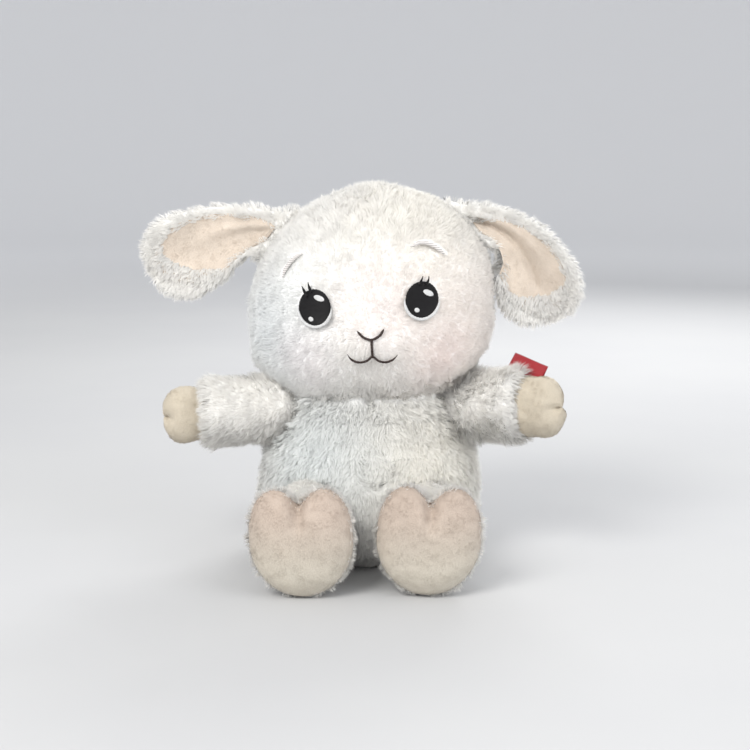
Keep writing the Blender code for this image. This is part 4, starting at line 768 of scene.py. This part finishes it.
def make_collar():
    """The gathered fabric that carries the chest up into the head, with the notch under the chin."""
    turn, rise = turns(144), np.linspace(0, 1, 26)[:, None]
    z = .0750 + .0440 * rise + 0 * turn
    notch = bell(turn - 1.5 * math.pi, .050) * smooth((rise - .55) / .35)
    gathers = (np.sin(turn * 19) + np.sin(turn * 7 + 1)) * .0004 * smooth(rise * 2 - .9)
    off = gathers - notch * .0045
    outer = xyz((at(COLLAR, z[:, :1]) + off) * np.cos(turn), (at(COLLAR, z[:, :1], 2) + off) * np.sin(turn), z)
    inner = xyz(.041 * np.cos(turn), .041 * np.sin(turn), np.array([[.118], [.079]]))
    grid = clear_balls(np.concatenate([outer, inner]), COLLAR_CLEAR)
    joint = ("torso", "head", (0, 0, .0985), (0, 0, .1135))
    made = piece("collar_skin", *loop_mesh(grid), joint, WHITE_BODY, fill=.7)

    def keep(p, n):
        stay = (np.hypot(p[:, 0], p[:, 1]) > .045) & (np.abs(n[:, 2]) < .85) & (p[:, 2] < .1145)
        return (stay & (from_balls(p) > COLLAR_BARE)) * smooth((p[:, 2] - .0775) / .0125)

    def loose(p):
        return np.maximum(by_arms(p), smooth((p[:, 2] - .0945) / .0100))

    pile("collar_pile", made, joint, 1.6, lambda p, n: BODY_PILE + .0020 * loose(p),
         lambda p, n: .95 - .38 * loose(p), lambda p, n: hanging(p, loose(p)), keep, 66)


def make_pocket_rim():
    """The bound edge of the pocket's mouth, sewn to the back."""
    outline = mouth_outline()
    outline = np.concatenate([outline, outline[:1]])
    run = run_of(outline)
    along = np.linspace(0, run[-1], 120, endpoint=False)
    path = np.stack([np.interp(along, run, outline[:, i]) for i in (0, 1)], -1)
    for _ in range(6):
        path = path / 2 + (np.roll(path, 1, 0) + np.roll(path, -1, 0)) / 4
    ahead = unit(np.roll(path, -1, 0) - np.roll(path, 1, 0))
    angle = turns(12)[:, None]
    x = path[:, 0] + ahead[:, 1] * .0021 * np.cos(angle)
    z = path[:, 1] - ahead[:, 0] * .0021 * np.cos(angle)
    y = torso_back(x, z) - .0016 + .0011 * np.sin(angle)
    piece("pocket_rim", *loop_mesh(xyz(x, y, z)), "torso", CLOTH)


def make_press_pad():
    """The soft round spot on the belly, which rides on the button under it."""
    x, z = PAD_AT
    share = np.concatenate([np.linspace(0, .90, 9), [.97, .99, 1.0, 1.0]])
    angle = turns(48)
    px = x + PAD_RADIUS * share[:, None] * np.cos(angle)
    pz = z + PAD_RADIUS * share[:, None] * np.sin(angle)
    depth = np.array([.0031] * 11 + [.0036, .0064])[:, None]
    grid = xyz(px, -torso_back(px, pz) + depth, pz)[1:]
    made = piece("press_pad_skin", *ring_mesh(grid), "button", WHITE_BODY, ["belly_press_pad"], fill=.7)

    def rim(p):
        return smooth((np.hypot(p[:, 0] - x, p[:, 2] - z) - PAD_RADIUS + .0055) / .0045)

    pile("press_pad_pile", made, "button", 1.6, lambda p, n: .0060 - .0008 * rim(p),
         lambda p, n: .96 - .50 * rim(p),
         lambda p, n: DOWN * (1 - .8 * rim(p))[:, None] + toss(p, .009, 38) * rim(p)[:, None] * .6,
         lambda p, n: (n[:, 1] < -.8) * 1.0, seed=61)


# Limbs

def outside(p):
    """One where a place is outside the torso and the neck, and nought inside."""
    share = np.clip(p[:, 2] / TORSO[2], 0, 1)
    far = np.hypot(p[:, 0] / (TORSO[0] / 2 * at(TORSO_SHARES, share)),
                   p[:, 1] / (TORSO[1] / 2 * at(TORSO_SHARES, share, 2)))
    free = (far > .96) | (p[:, 2] > TORSO[2])
    return free * (np.linalg.norm(p - np.array(NECK), axis=1) > NECK_RADIUS)


def limb_way(sign, turn, lift, rest):
    """Unit direction of a limb, as in the part's source."""
    flat = Matrix.Rotation(math.radians(turn), 3, "Z") @ Vector(rest)
    flat.x *= sign
    lift = math.radians(lift)
    return (flat * math.cos(lift) + Vector((0, 0, math.sin(lift)))).normalized()


def limb_grid(pivot, aim, ball, length, radius, shares, bridge):
    """Rings of the ball that turns in its socket and of the limb on it, with no waist under the bridge."""
    ball = ball - CLEARANCE
    meet = math.asin(min(shares[0][1] * radius / ball, 1))
    arc = np.linspace(.25, math.pi - meet, 16)
    along = np.linspace(shares[0][0], 1, 44)
    distance = np.concatenate([-ball * np.cos(arc), along * length])
    limb = at(shares, along) * radius - LIMB_INSET * smooth((along - .1) * 3)
    size = np.concatenate([ball * np.sin(arc), limb])
    size = np.where(distance > 0, np.maximum(size, bridge), size)
    order = np.argsort(distance, kind="stable")
    distance, size = distance[order], size[order]
    keep = np.r_[True, np.diff(distance) > 1e-5]
    size, distance, angle = size[keep][:, None], distance[keep][:, None], turns(72)
    return on_axis(aim, size * np.cos(angle), size * np.sin(angle), distance) + np.array(pivot)


def on_axis(aim, a, b, along):
    """Places given in a frame whose third direction is the aim."""
    return xyz(a, b, along) @ np.array(aim.to_track_quat("Z", "Y").to_matrix()).T


def arm_frame(name):
    """Sign, pivot, and the directions along, level across and up of an arm."""
    sign, pivot, turn, lift = ARMS[name]
    aim = limb_way(sign, turn, lift, (1, 0, 0))
    level = Vector((-aim.y, aim.x, 0)).normalized() * sign
    up = aim.cross(level).normalized()
    return sign, pivot, aim, level, up if up.z > 0 else -up


def make_arm(name):
    sign, pivot, aim, _, _ = arm_frame(name)
    grid = limb_grid(pivot, aim, ARM_BALL, ARM_LENGTH, ARM_RADIUS, ARM_SHARES, .0202)
    way = np.array(aim)
    d = (grid - np.array(pivot)) @ way
    grid = grid + normals_of(grid) * (waves(grid, .026, 8) * .0007 * smooth((d - .012) / .01))[..., None]
    body = ("torso", "arm_" + name, pivot + aim * .001, pivot + aim * .020)
    made = piece("arm_skin_" + name, *ring_mesh(grid), body, WHITE_LIMB, ["arm_" + name], fill=.75)
    full = .0030 if name == "left" else .0008

    def along(p):
        return ((p - np.array(pivot)) @ way) / ARM_LENGTH

    def root(p):
        return smooth((.45 - along(p)) / .25)

    def cuff(p, n):
        """The fuller pile at the sleeve's end, which the left one has only behind and below."""
        seen = smooth(.5 - n[:, 1] * .9 - n[:, 2] * .5) if name == "left" else 0
        return smooth((along(p) - .75) / .25) * (1 - .85 * seen)

    pile("arm_pile_" + name, made, body, 1.5,
         lambda p, n: LIMB_PILE + .0026 * cuff(p, n) + full * np.abs(n[:, 2]) + .0022 * root(p),
         lambda p, n: .92 - .14 * cuff(p, n) - 60 * full * np.abs(n[:, 2]) - .32 * root(p),
         lambda p, n: way + DOWN * .25 + .9 * toss(p, .009, 37) * root(p)[:, None],
         lambda p, n: (along(p) > -.3) * ((n @ way) < .93) * outside(p), seed=70 + sign)


def make_hand(name):
    sign, pivot, aim, level, up = arm_frame(name)
    cuff = pivot + aim * (ARM_LENGTH + CLEARANCE)
    share, angle = spaced(44), turns(72)
    size, cleft = at(HAND_SHARES, share)[:, None], at(HAND_SHARES, share, 2)[:, None]
    if name == "left":
        size = size * 1.07 + .20 * (1 - smooth(share * 2.6))[:, None]
        cuff = cuff - up * .0010
    across = np.cos(angle)
    drawn = HAND[0] * cleft * bell(across, .35)
    size = size * (1 - .035 * bell(np.sin(angle), .10))
    grid = (np.array(cuff) + np.array(aim) * (HAND[0] * share[:, None] - drawn)[..., None]
            + np.array(up) * (HAND[1] / 2 * size * across)[..., None]
            + np.array(level) * (HAND[2] / 2 * size * np.sin(angle))[..., None])
    pucker = np.sin(share[:, None] * 60 + 2 * np.sin(angle)) * bell(np.sin(angle), .30) * .00030
    grid = grid + normals_of(grid) * (waves(grid, .016, 9) * .0004 + pucker)[..., None]
    body = "arm_" + name
    made = piece("hand_velour_" + name, *ring_mesh(grid), body, VELOUR_HAND, ["hand_" + name], fill=.7)
    nap("hand_nap_" + name, made, body, VELOUR_HAND, np.array(aim), seed=74 + sign)


def foot_frame(name):
    sign, pivot, turn, lift = LEGS[name]
    aim = limb_way(sign, turn, lift, (0, -1, 0))
    end = pivot + aim * (LEG_LENGTH + CLEARANCE)
    rise = Vector((-aim.x * aim.z, -aim.y * aim.z, 1 - aim.z * aim.z)).normalized()
    up = Matrix.Rotation(math.radians(-sign * 3), 3, aim) @ rise
    middle = end + rise * (FLOOR_GAP + FOOT[1] / 2 - end.z) / rise.z
    return aim, up, middle


def foot_grid(name, share, inset=0.0):
    """Measures across, up and along a foot, and the function that turns them into places above a floor."""
    aim, up, middle = foot_frame(name)
    side = up.cross(aim)
    angle = turns(120)
    power = np.where(np.sin(angle) > 0, 2.7, 2.0)
    reach = (np.abs(np.cos(angle)) ** power + np.abs(np.sin(angle)) ** power) ** (-1 / power)
    notch = bell(angle - math.pi / 2, .20 * math.pi / 2)
    size, cleft = at(FOOT_SHARES, share)[:, None], at(FOOT_SHARES, share, 2)[:, None]
    reach = reach * (1 - FOOT_CLEFT * cleft * notch)
    across = (FOOT[0] / 2 - inset) * size * reach * np.cos(angle)
    tall = (FOOT[1] / 2 - inset) * size * reach * np.sin(angle)
    depth = FOOT[2] * share[:, None] + 0 * angle

    def put(a, b, c, floor):
        grid = (np.array(middle) + np.array(side) * a[..., None] + np.array(up) * b[..., None]
                + np.array(aim) * c[..., None])
        grid[..., 2] = np.maximum(grid[..., 2], floor)
        return grid

    return across, tall, depth, put


def make_leg(name):
    sign, pivot, turn, lift = LEGS[name]
    aim = limb_way(sign, turn, lift, (0, -1, 0))
    grid = limb_grid(pivot, aim, LEG_BALL, LEG_LENGTH, LEG_RADIUS, LEG_SHARES, .0262)
    grid[..., 2] = np.maximum(grid[..., 2], .0012)
    body, way = "leg_" + name, np.array(aim)
    hip = ("torso", body, pivot + aim * .004, pivot + aim * .022)
    made = piece("leg_skin_" + name, *ring_mesh(grid), hip, WHITE_LIMB, ["leg_" + name], fill=.8)
    pile("leg_pile_" + name, made, hip, 1.5, .0062, .88,
         lambda p, n: way * .8 + DOWN * .35 + toss(p, .011, 39) * .45,
         lambda p, n: outside(p) * ((n @ way) < .9), seed=80 + sign, floor=True)


def make_foot(name):
    sign, body = LEGS[name][0], "leg_" + name
    aim, _, middle = foot_frame(name)
    way, middle = np.array(aim), np.array(middle)
    across, tall, depth, put = foot_grid(name, spaced(30, 0, .50), inset=.0018)
    side = piece("foot_skin_" + name, *ring_mesh(put(across, tall, depth, .0006)), body, WHITE_LIMB, fill=.8)
    pile("foot_pile_" + name, side, body, 1.7,
         lambda p, n: .0056 + .0008 * smooth(((p - middle) @ way) / .012),
         lambda p, n: .92 - .30 * smooth(((p - middle) @ way) / .010),
         lambda p, n: way * .6 + toss(p, .008, 35) * .55,
         lambda p, n: (np.abs(n @ way) < .9) * 1.0, seed=84 + sign, floor=True)
    share = np.concatenate([[.40, .43], spaced(56, .45, 1)])
    across, tall, depth, put = foot_grid(name, share)
    share = share[:, None]
    tuck = np.array([.0022, .0008] + [0.0] * 56)[:, None]
    across, tall = across * (1 - tuck / .033), tall * (1 - tuck / .036)
    top = FOOT[1] / 2 * (1 - FOOT_CLEFT)
    groove = bell(across, .0042) * smooth((tall - top + .020) / .013) * smooth((share - .5) / .2)
    crown = waves(np.stack([across, tall, depth], -1), .030, 11 + sign) * .0006 * smooth((share - .5) * 3)
    seam = np.cos(np.linspace(0, TAU * 26, across.shape[1])) * bell(share - .47, .05) * .0004
    grid = put(across, tall, depth - groove * .0054 + crown + seam, FLOOR_GAP)
    made = piece("sole_velour_" + name, *ring_mesh(grid), body, VELOUR_SOLE, ["foot_" + name], fill=.7)
    nap("sole_nap_" + name, made, body, VELOUR_SOLE, np.array([0, -.3, -1.0]),
        lambda p, n: ((p - middle) @ way > .0118) * 1.0, seed=88 + sign)


# Ears, tail and flap

def ear_way(sign, angle):
    return np.array([sign * math.cos(math.radians(angle)), 0, math.sin(math.radians(angle))])


def ear_frames(name):
    """Middle, outward, across and front directions at each row of the ear's shares."""
    sign, start, end, sweep, share = EARS[name]
    level = HEAD[2] * share
    x, y = zip(*[row[:2] for row in HEAD_SHARES])
    below, width, above = (HEAD[0] / 2 * np.interp((level + s) / HEAD[2], x, y)
                           for s in (-EAR_ROOT_THICKNESS, 0, EAR_ROOT_THICKNESS))
    root = turned(HEAD_MATRIX, np.array([drift(level) + sign * (width - .0002), 0, level]))
    slope = (below - above) / (2 * EAR_ROOT_THICKNESS) - sign * HEAD_UPRIGHT
    normal = math.degrees(math.atan(slope)) + sign * HEAD_TURNS[0]
    rows, middle, last = [], root.copy(), 0
    for along in [row[0] for row in EAR_SHARES]:
        path = start + (end - start) * (1 - (1 - along) ** 2)
        middle = middle + ear_way(sign, path) * (along - last) * EAR_LENGTH
        last = along
        lean = normal + (path - normal) * smooth(along / EAR_SETTLE)
        rows.append([middle, ear_way(sign, lean), ear_way(sign, lean + 90), np.array([0, -1.0, 0])])
    spin = np.array(Matrix.Rotation(math.radians(sign * -sweep), 3, Vector(rows[0][2])))
    return [[root + spin @ (m - root), spin @ a, spin @ c, spin @ f] for m, a, c, f in rows]


def ear_sheet(frames, share):
    """Directions along, across and ahead, half thickness, and the placing function at shares along the ear."""
    x, along = [row[0] for row in EAR_SHARES], np.maximum(share, 0)
    middle, aim, across, front = (
        np.stack([at([(s, f[k][axis]) for s, f in zip(x, frames)], along) for axis in range(3)], -1)
        for k in range(4))
    middle = middle + aim * np.minimum(share, 0)[:, None] * EAR_LENGTH
    width = EAR_WIDTH / 2 * at(EAR_SHARES, along)
    ramp = np.clip(share / EAR_CUP_SHARE, 0, 1)
    half = (EAR_ROOT_THICKNESS + (EAR_THICKNESS - EAR_ROOT_THICKNESS) * ramp) / 2
    half = half * at(EAR_SHARES, along, 2)
    cup = EAR_CUP * ramp

    def put(t, lift):
        """Places at shares t across the ear, lifted ahead of its cupped middle sheet."""
        w = width[:, None]
        return (middle[:, None] + across[:, None] * (w * t)[..., None]
                + front[:, None] * (lift + cup[:, None] * t * t * w / (EAR_WIDTH / 2))[..., None])

    return aim, across, front, width[:, None], half[:, None], put


def ear_folds(name, s, t):
    """Heights of the soft folds that the velour lies in."""
    if name == "right":
        ridge = bell(t - .30 + .35 * (s - .3), .16) * smooth((.75 - s) / .4) * .0022
        hollow = bell(t + .18, .30) * smooth((s - .15) / .3) * .0012
    else:
        ridge = bell(t - .42 + .3 * (s - .4), .17) * smooth((.85 - s) / .4) * .0024
        hollow = bell(t - .08 + .5 * (s - .45), .10) * smooth((.9 - s) / .3) * .0026
    return ridge - hollow


def under_lining(s, t):
    """One where the velour lies on the ear, and nought at its rim."""
    return bell(t, .60, 4) * smooth((s - .03) / .08)


def leaf(s, wide, long):
    """Half width of a leaf shape at shares along the ear."""
    return wide * np.sqrt(np.clip(1 - ((s - .50) / long) ** 2, 0, 1)) ** .8


def make_ear(name):
    sign, body = EARS[name][0], "ear_" + name
    frames = ear_frames(name)
    share, angle = np.concatenate([[-.045, -.02], spaced(66)]), turns(96)
    aim, across, front, width, half, put = ear_sheet(frames, share)
    s = share[:, None]
    t = np.cos(angle)[None] * (1 - .0032 * smooth(s * 9) / np.maximum(width, .008))
    lift = (half - EAR_INSET) * np.sin(angle)
    lined = under_lining(s, t)
    lift = np.where(lift > 0, lift * (1 - .55 * lined) + (ear_folds(name, s, t) - .0006) * lined, lift)
    grid = put(t, lift)
    root, way = Vector(frames[0][0]), Vector(frames[0][1])
    seam = ("head", body, root - way * .004, root + way * .006)
    made = piece("ear_skin_" + name, *ring_mesh(grid), seam, WHITE_LIMB, [body], fill=.5)
    ahead = np.array(front[len(front) // 2])
    nearest = finder(grid.reshape(-1, 3))

    def spot(p):
        """Share along, share across and row of places on the ear."""
        row, column = np.divmod(nearest(p), len(angle))
        return share[row], np.cos(angle)[column], row

    def inner(s, t):
        """The hanging ear's edge by the head, where the pile fills the gap."""
        return (name == "left") * smooth((-t - .60) / .3) * smooth((s - .04) / .08) * smooth((.58 - s) / .15)

    def length(p, n):
        s, t, _ = spot(p)
        return LIMB_PILE + .0006 * smooth((np.abs(t) - .72) / .25) + .0056 * inner(s, t)

    def lean(p, n):
        s, t, _ = spot(p)
        return 1.0 - .08 * smooth((np.abs(t) - .8) / .2) - .45 * smooth((.10 - s) / .08) - .55 * inner(s, t)

    def flow(p, n):
        s, t, k = spot(p)
        tossed = toss(p, .008, 25) * smooth((.14 - s) / .1)[:, None] * 1.2
        return aim[k] * .9 + across[k] * (t * .9)[:, None] + DOWN * .15 + tossed

    def keep(p, n):
        s, t, _ = spot(p)
        return np.where(((n @ ahead) > .15) & (np.abs(t) < leaf(s, .69, .44)) | (s < 0), 0.0, 1.0)

    pile("ear_pile_" + name, made, seam, 1.5, length, lean, flow, keep, seed=90 + sign)
    make_lining(name, frames)


def make_lining(name, frames):
    sign, body = EARS[name][0], "ear_" + name
    rows, line = np.linspace(.07, .94, 60), np.linspace(-1, 1, 46)
    aim, across, front, _, half, put = ear_sheet(frames, rows)
    s = rows[:, None]
    t = leaf(s, .72, .450) * line
    lined = under_lining(s, t)
    base = (half - EAR_INSET) * np.sqrt(np.clip(1 - t * t, 0, 1)) * (1 - .55 * lined)
    base = base + ear_folds(name, s, t) * lined
    top = put(t, base + .0015 * (1 - np.abs(line)[None] ** 6) - .0002)
    made = piece("ear_velour_" + name, *panel_mesh(top, put(t, base - .0004)), body, VELOUR,
                 ["ear_lining_" + name], fill=.4)
    nearest = finder(top.reshape(-1, 3))

    def shown(p):
        """How far inside the shown part places are, in shares of the ear's half width, and where."""
        near = nearest(p)
        row = near // len(line)
        s, u = rows[row], t.reshape(-1)[near]
        low, high = at(LININGS[name], s), at(LININGS[name], s, 2)
        return np.minimum(u - low, high - u) + .03 * waves(p, .012, 27), s, u - (low + high) / 2, row

    def fringe_flow(p, n):
        _, s, off, k = shown(p)
        return across[k] * off[:, None] * 1.6 + aim[k] * ((s - .45) * 2.2)[:, None] + toss(p, .008, 28) * .35

    nap("ear_nap_" + name, made, body, VELOUR, aim[30] + DOWN * .4,
        lambda p, n: (n @ front[30] > .35) * (shown(p)[0] > -.02), seed=94 + sign)
    pile("ear_fringe_" + name, made, body, 3.2, .0054, 1.0, fringe_flow,
         lambda p, n: (n @ front[30] > .2) * (shown(p)[0] < 0), seed=104 + sign, material=PILES["plush_limb"])


def make_tail():
    droop = math.radians(-18)
    aim = Vector((0, math.cos(droop), math.sin(droop)))
    start = Vector((0, torso_back(0, .0165) - .0012, .0165))
    share, angle = spaced(24), turns(48)
    size = (at(TAIL_SHARES, share) * .0095 - .0016 * smooth(share * 8))[:, None].clip(.0004)
    grid = on_axis(aim, size * np.cos(angle), size * np.sin(angle), (share * .0245)[:, None])
    made = piece("tail_skin", *ring_mesh(grid + np.array(start)), "torso", WHITE_BODY, ["tail"], fill=.7)
    pile("tail_pile", made, "torso", 1.5, .0070, .95, np.array(aim) + DOWN * .2, seed=97, floor=True)


def make_flap():
    """The plush panel over the pocket, thinner at its bound edge; the cloth inside is not drawn."""
    low, high, shoulder = FLAP[2:]
    z = np.concatenate([np.linspace(low, high - shoulder, 34), np.linspace(high - shoulder, high, 9)[1:]])
    z, t = z[:, None], np.linspace(-1, 1, 46)
    x = flap_side(z) * t
    back = torso_back(x, z)
    body = xyz(x, back, z)
    out = unit(xyz(x / (TORSO[0] / 2) ** 2, back / (TORSO[1] / 2) ** 2, 0 * x))
    edge = np.maximum(np.abs(t)[None] ** 8, (np.abs((z - low) / (high - low) * 2 - 1)) ** 14)
    grow = (.0031 * (1 - edge * .55))[..., None]
    made = piece("flap_skin", *panel_mesh(body + out * grow, body + out * .0006), "flap", WHITE_BODY,
                 ["back_flap"], fill=.3)
    pile("flap_pile", made, "flap", 1.2, .0056, 1.02, np.array([0, .3, -1.0]),
         lambda p, n: (n[:, 1] > -.25) * 1.0, seed=98)


# Embroidery on the face

def through(places, step=.0004):
    """Places on a smooth curve through (across, up) pairs, a step apart."""
    p = np.array(places, float)
    ends = np.vstack([2 * p[0] - p[1], p, 2 * p[-1] - p[-2]])
    found = []
    for a, b, c, d in zip(ends, ends[1:], ends[2:], ends[3:]):
        for s in np.arange(0, 1, step / max(np.linalg.norm(c - b), step)):
            found.append((2 * b + (c - a) * s + (2 * a - 5 * b + 4 * c - d) * s * s
                          + (3 * b - a - 3 * c + d) * s ** 3) / 2)
    return np.array(found + [p[-1]])


def stitch(name, places, radius, material, taper=(0, 0), stand=.0002, stands_for=(), length=.0021):
    """A line of short round stitches on the face, thinner at a tapered end."""
    side, height = through(places).T
    path = face_at(side, height, stand)
    out = unit(face_at(side, height, stand + .002) - path)
    run = run_of(path)
    size = radius * (.80 + .20 * np.abs(np.sin(math.pi * run / length)) ** .5)
    for end, reach in zip((0, -1), taper):
        if reach:
            size *= .25 + .75 * smooth(np.abs(run - run[end]) / reach)
    size[[0, -1]] *= .5
    ahead = unit(np.gradient(path, axis=0))
    across = unit(np.cross(ahead, out))
    up = np.cross(across, ahead)
    angle, size = turns(10), size[:, None]
    grid = (path[:, None] + across[:, None] * (np.cos(angle) * size)[..., None]
            + up[:, None] * (np.sin(angle) * size)[..., None])
    piece(name, *ring_mesh(grid), "head", material, stands_for)


def patch(name, middle, half, tilt, stand, rise, skirt, material, stands_for=(), rings=14, sides=72):
    """A crowned patch of satin stitches on the face, with its edge sunk into the pile."""
    angle = turns(sides)
    share = np.concatenate([np.linspace(.06, 1, rings), [1.01]])[:, None]
    ragged = 1 + .012 * np.sin(angle * 31) * share ** 6
    a, b = half[0] * share * np.cos(angle) * ragged, half[1] * share * np.sin(angle) * ragged
    c, s = math.cos(math.radians(tilt)), math.sin(math.radians(tilt))
    lift = stand + rise * (1 - share ** 4)
    lift[-1] = -skirt
    grid = face_at(middle[0] + a * c + b * s, middle[1] - a * s + b * c, lift)
    piece(name, *ring_mesh(grid), "head", material, stands_for)


def make_face():
    marks = {"right": ((-.0347, .0792), (-.0311, .0853), (-.0376, .0722), -1),
             "left": ((.0353, .0788), (.0397, .0830), (.0316, .0729), 1)}
    lashes = {"right": [[(-.0386, .0865), (-.0403, .0893), (-.0414, .0916), (-.0423, .0936)],
                        [(-.0357, .0890), (-.0369, .0916), (-.0375, .0938), (-.0377, .0958)]],
              "left": [[(.0345, .0885), (.0353, .0903), (.0362, .0920), (.0371, .0940)],
                       [(.0384, .0878), (.0396, .0896), (.0405, .0913), (.0409, .0935)]]}
    for name, (eye, shine, spark, sign) in marks.items():
        patch("eye_satin_" + name, eye, (.0106, .0117), 4.5, -.0002, .0010, .0026, BLACK, ["eye_" + name])
        patch("eye_glint_" + name, shine, (.0036, .0018), 26 + 4 * sign, .0007, .0004, -.0002, WHITE_THREAD,
              ["eye_shine_" + name], 6, 36)
        patch("eye_spark_" + name, spark, (.0017, .0015), 30, .0007, .0003, -.0002, WHITE_THREAD, (), 5, 28)
        angle = np.radians(np.linspace(172, 372, 60))
        rim = np.stack([eye[0] + .0112 * np.cos(angle) + .0010 * np.sin(angle),
                        eye[1] + .0123 * np.sin(angle) - .0009 * np.cos(angle)], -1)
        stitch("eye_rim_satin_" + name, rim[::4], .00110, WHITE_THREAD, (.007, .007), .0002, ["eye_rim_" + name])
        for i, lash in enumerate(lashes[name]):
            stitch("lash_%s_%d" % (name, i + 1), lash, .00105, BLACK, (0, .005), .0006, length=.02)
        stitch("brow_" + name, BROWS[name], .0013, BROW, (.006, .006), -.0001, length=.03)
    nose = [(-.0078, .0634), (-.0062, .0613), (-.0036, .0588), (.0012, .0571), (.0060, .0588), (.0082, .0611),
            (.0096, .0633)]
    stitch("nose_stitch", nose, .00085, DARK, (.002, .002), .0004, ["nose_and_smile_stitch"])
    stitch("stem_stitch", [(.0012, .0571), (.0010, .0520), (.0009, .0459)], .00085, DARK, stand=.0004)
    smile = [(-.0155, .0489), (-.0135, .0455), (-.0105, .0434), (-.0070, .0427), (-.0030, .0435), (.0009, .0459),
             (.0045, .0428), (.0085, .0414), (.0125, .0420), (.0152, .0437), (.0169, .0455)]
    stitch("smile_stitch", smile, .00078, DARK, (.006, .006), .0004)


# The tag, the neck's lead and the parts that the CAD gives as they are

def make_tag():
    """The folded ribbon at the left sleeve's seam, plain on both sides."""
    _, pivot, aim, level, up = arm_frame("left")
    spin = Matrix.Rotation(math.radians(26), 3, up.cross(level))
    up, level = spin @ up, spin @ level
    lean = Matrix.Rotation(math.radians(20), 3, level)
    foot = pivot + aim * (ARM_LENGTH - .0030) + up * (ARM_RADIUS - .0050)
    aim, up = lean @ aim, lean @ up
    s = np.linspace(-1, 1, 30)
    r = np.linspace(0, 1, 41)
    height = .0132 * (1 - np.abs(2 * r - 1))
    swell = .0010 * np.cos(math.pi * r)
    wave = .0012 * np.sin(s * 2.4)[None] * (height / .0132)[:, None]
    places = (np.array(foot) + np.array(aim) * (s * .0138)[None, :, None]
              + np.array(up) * height[:, None, None] + np.array(level) * (swell[:, None] + wave)[..., None])
    made = piece("side_ribbon", places.reshape(-1, 3), grid_faces(41, 30, False), "arm_left", RED, ["side_tag"],
                 turn_out=False)
    thick = made.modifiers.new("thick", "SOLIDIFY")
    thick.thickness, thick.offset = .0003, 0


def dress_parts():
    given = {
        "lining_cloth": weave("cloth_lining", (.72, .72, .70), 420),
        "hook_tape": moulded("tape_hook", (.86, .86, .84), 1400, .0006, .75, roughness=.8),
        "white_plastic": moulded("plastic_white", (.84, .84, .82), roughness=.42),
        "grey_plastic": moulded("plastic_grey", (.34, .35, .36), roughness=.48),
        "frosted_plastic": moulded("plastic_frosted", (.92, .93, .95), 500, roughness=.35, transmission_weight=.35),
        "cell_jacket": moulded("cell_jacket", (.10, .26, .44), 300, .00002, .7, roughness=.3, coat_weight=.4),
        "steel": moulded("steel_plated", (.64, .64, .65), 1200, .00003, .85, roughness=.28, metallic=1.0),
        "green_board": moulded("board_green", (.04, .28, .12), 400, .00008, .6, roughness=.45),
        "black_epoxy": moulded("epoxy_black", (.03, .03, .03), 800, roughness=.4),
        "clear_epoxy": moulded("epoxy_clear", (.90, .95, 1.0), 200, roughness=.12, transmission_weight=.6),
        "red_cable": moulded("cable_red", (.60, .06, .05), 500, .00005, .85, roughness=.5),
    }
    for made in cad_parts.values():
        for spot in made.material_slots:
            slot = spot.material.name.split(".")[0] if spot.material else ""
            if slot in given:
                spot.material = given[slot]


def make_head_lead():
    """The lamp's lead in the neck, of the node's own form."""
    made = link("head_lead_wire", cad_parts["head_lead"].data.copy())
    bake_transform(made)
    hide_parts("head_lead")


# Stage, lights and camera

def make_stage():
    """A floor that curves up all round, far off."""
    bend = np.linspace(0, math.pi / 2, 14)
    r = np.concatenate([[.02, .5, 1.2, 2.2], 3.0 + 1.4 * np.sin(bend), [4.4]])[:, None]
    z = np.concatenate([[0, 0, 0, 0], 1.4 * (1 - np.cos(bend)), [1.9]])[:, None]
    turn = turns(72)
    mesh = bpy.data.meshes.new("floor")
    points, faces = ring_mesh(xyz(r * np.cos(turn), r * np.sin(turn), z), (True, False))
    mesh.from_pydata(points.tolist(), [], faces)
    mesh.flip_normals()
    mesh.shade_smooth()
    look = Look("floor", roughness=.8, specular_ior_level=.2)
    near = look.mix(look.spread(look.noise(3), .3, .7), (.56, .56, .565), (.58, .58, .58))
    away = look.node("VectorMath", {0: look.place}, operation="LENGTH").outputs["Value"]
    mesh.materials.append(look.finish(look.mix(look.spread(away, 1.0, 2.6), near, (.86, .86, .87))))
    link("floor", mesh)


def make_light(name, place, aim, size, energy, colour=(1, 1, 1)):
    lamp = bpy.data.lights.new(name, "AREA")
    lamp.shape, lamp.size, lamp.energy, lamp.color = "DISK", size, energy, colour
    made = link(name, lamp)
    made.location = place
    made.rotation_mode = "QUATERNION"
    made.rotation_quaternion = (Vector(aim) - Vector(place)).to_track_quat("-Z", "Y")


def make_view():
    scene = bpy.context.scene
    scene.view_settings.view_transform = "Standard"
    scene.world = bpy.data.worlds.new("studio")
    scene.world.use_nodes = True
    sky = scene.world.node_tree.nodes["Background"]
    sky.inputs["Color"].default_value = (.90, .92, .95, 1)
    sky.inputs["Strength"].default_value = .70
    make_light("key", (-.75, -1.15, 1.15), (0, 0, .12), .9, 21, (1, .985, .96))
    make_light("fill", (1.20, -.95, .65), (0, 0, .12), 1.3, 11, (.95, .97, 1))
    make_light("rim", (.45, 1.15, .95), (0, 0, .15), .8, 11)
    camera = bpy.data.cameras.new("camera")
    camera.sensor_width, camera.lens = 36, CAMERA_LENS
    scene.camera = link("camera", camera)
    scene.camera.location = CAMERA_AT
    scene.camera.rotation_euler = (math.radians(90 - CAMERA_TILT), 0, 0)


make_stage()
make_view()
dress_parts()
make_head_lead()
make_torso()
make_collar()
make_pocket_rim()
make_press_pad()
make_head()
make_face()
for side in ("left", "right"):
    make_ear(side)
    make_arm(side)
    make_hand(side)
    make_leg(side)
    make_foot(side)
make_tail()
make_flap()
make_tag()
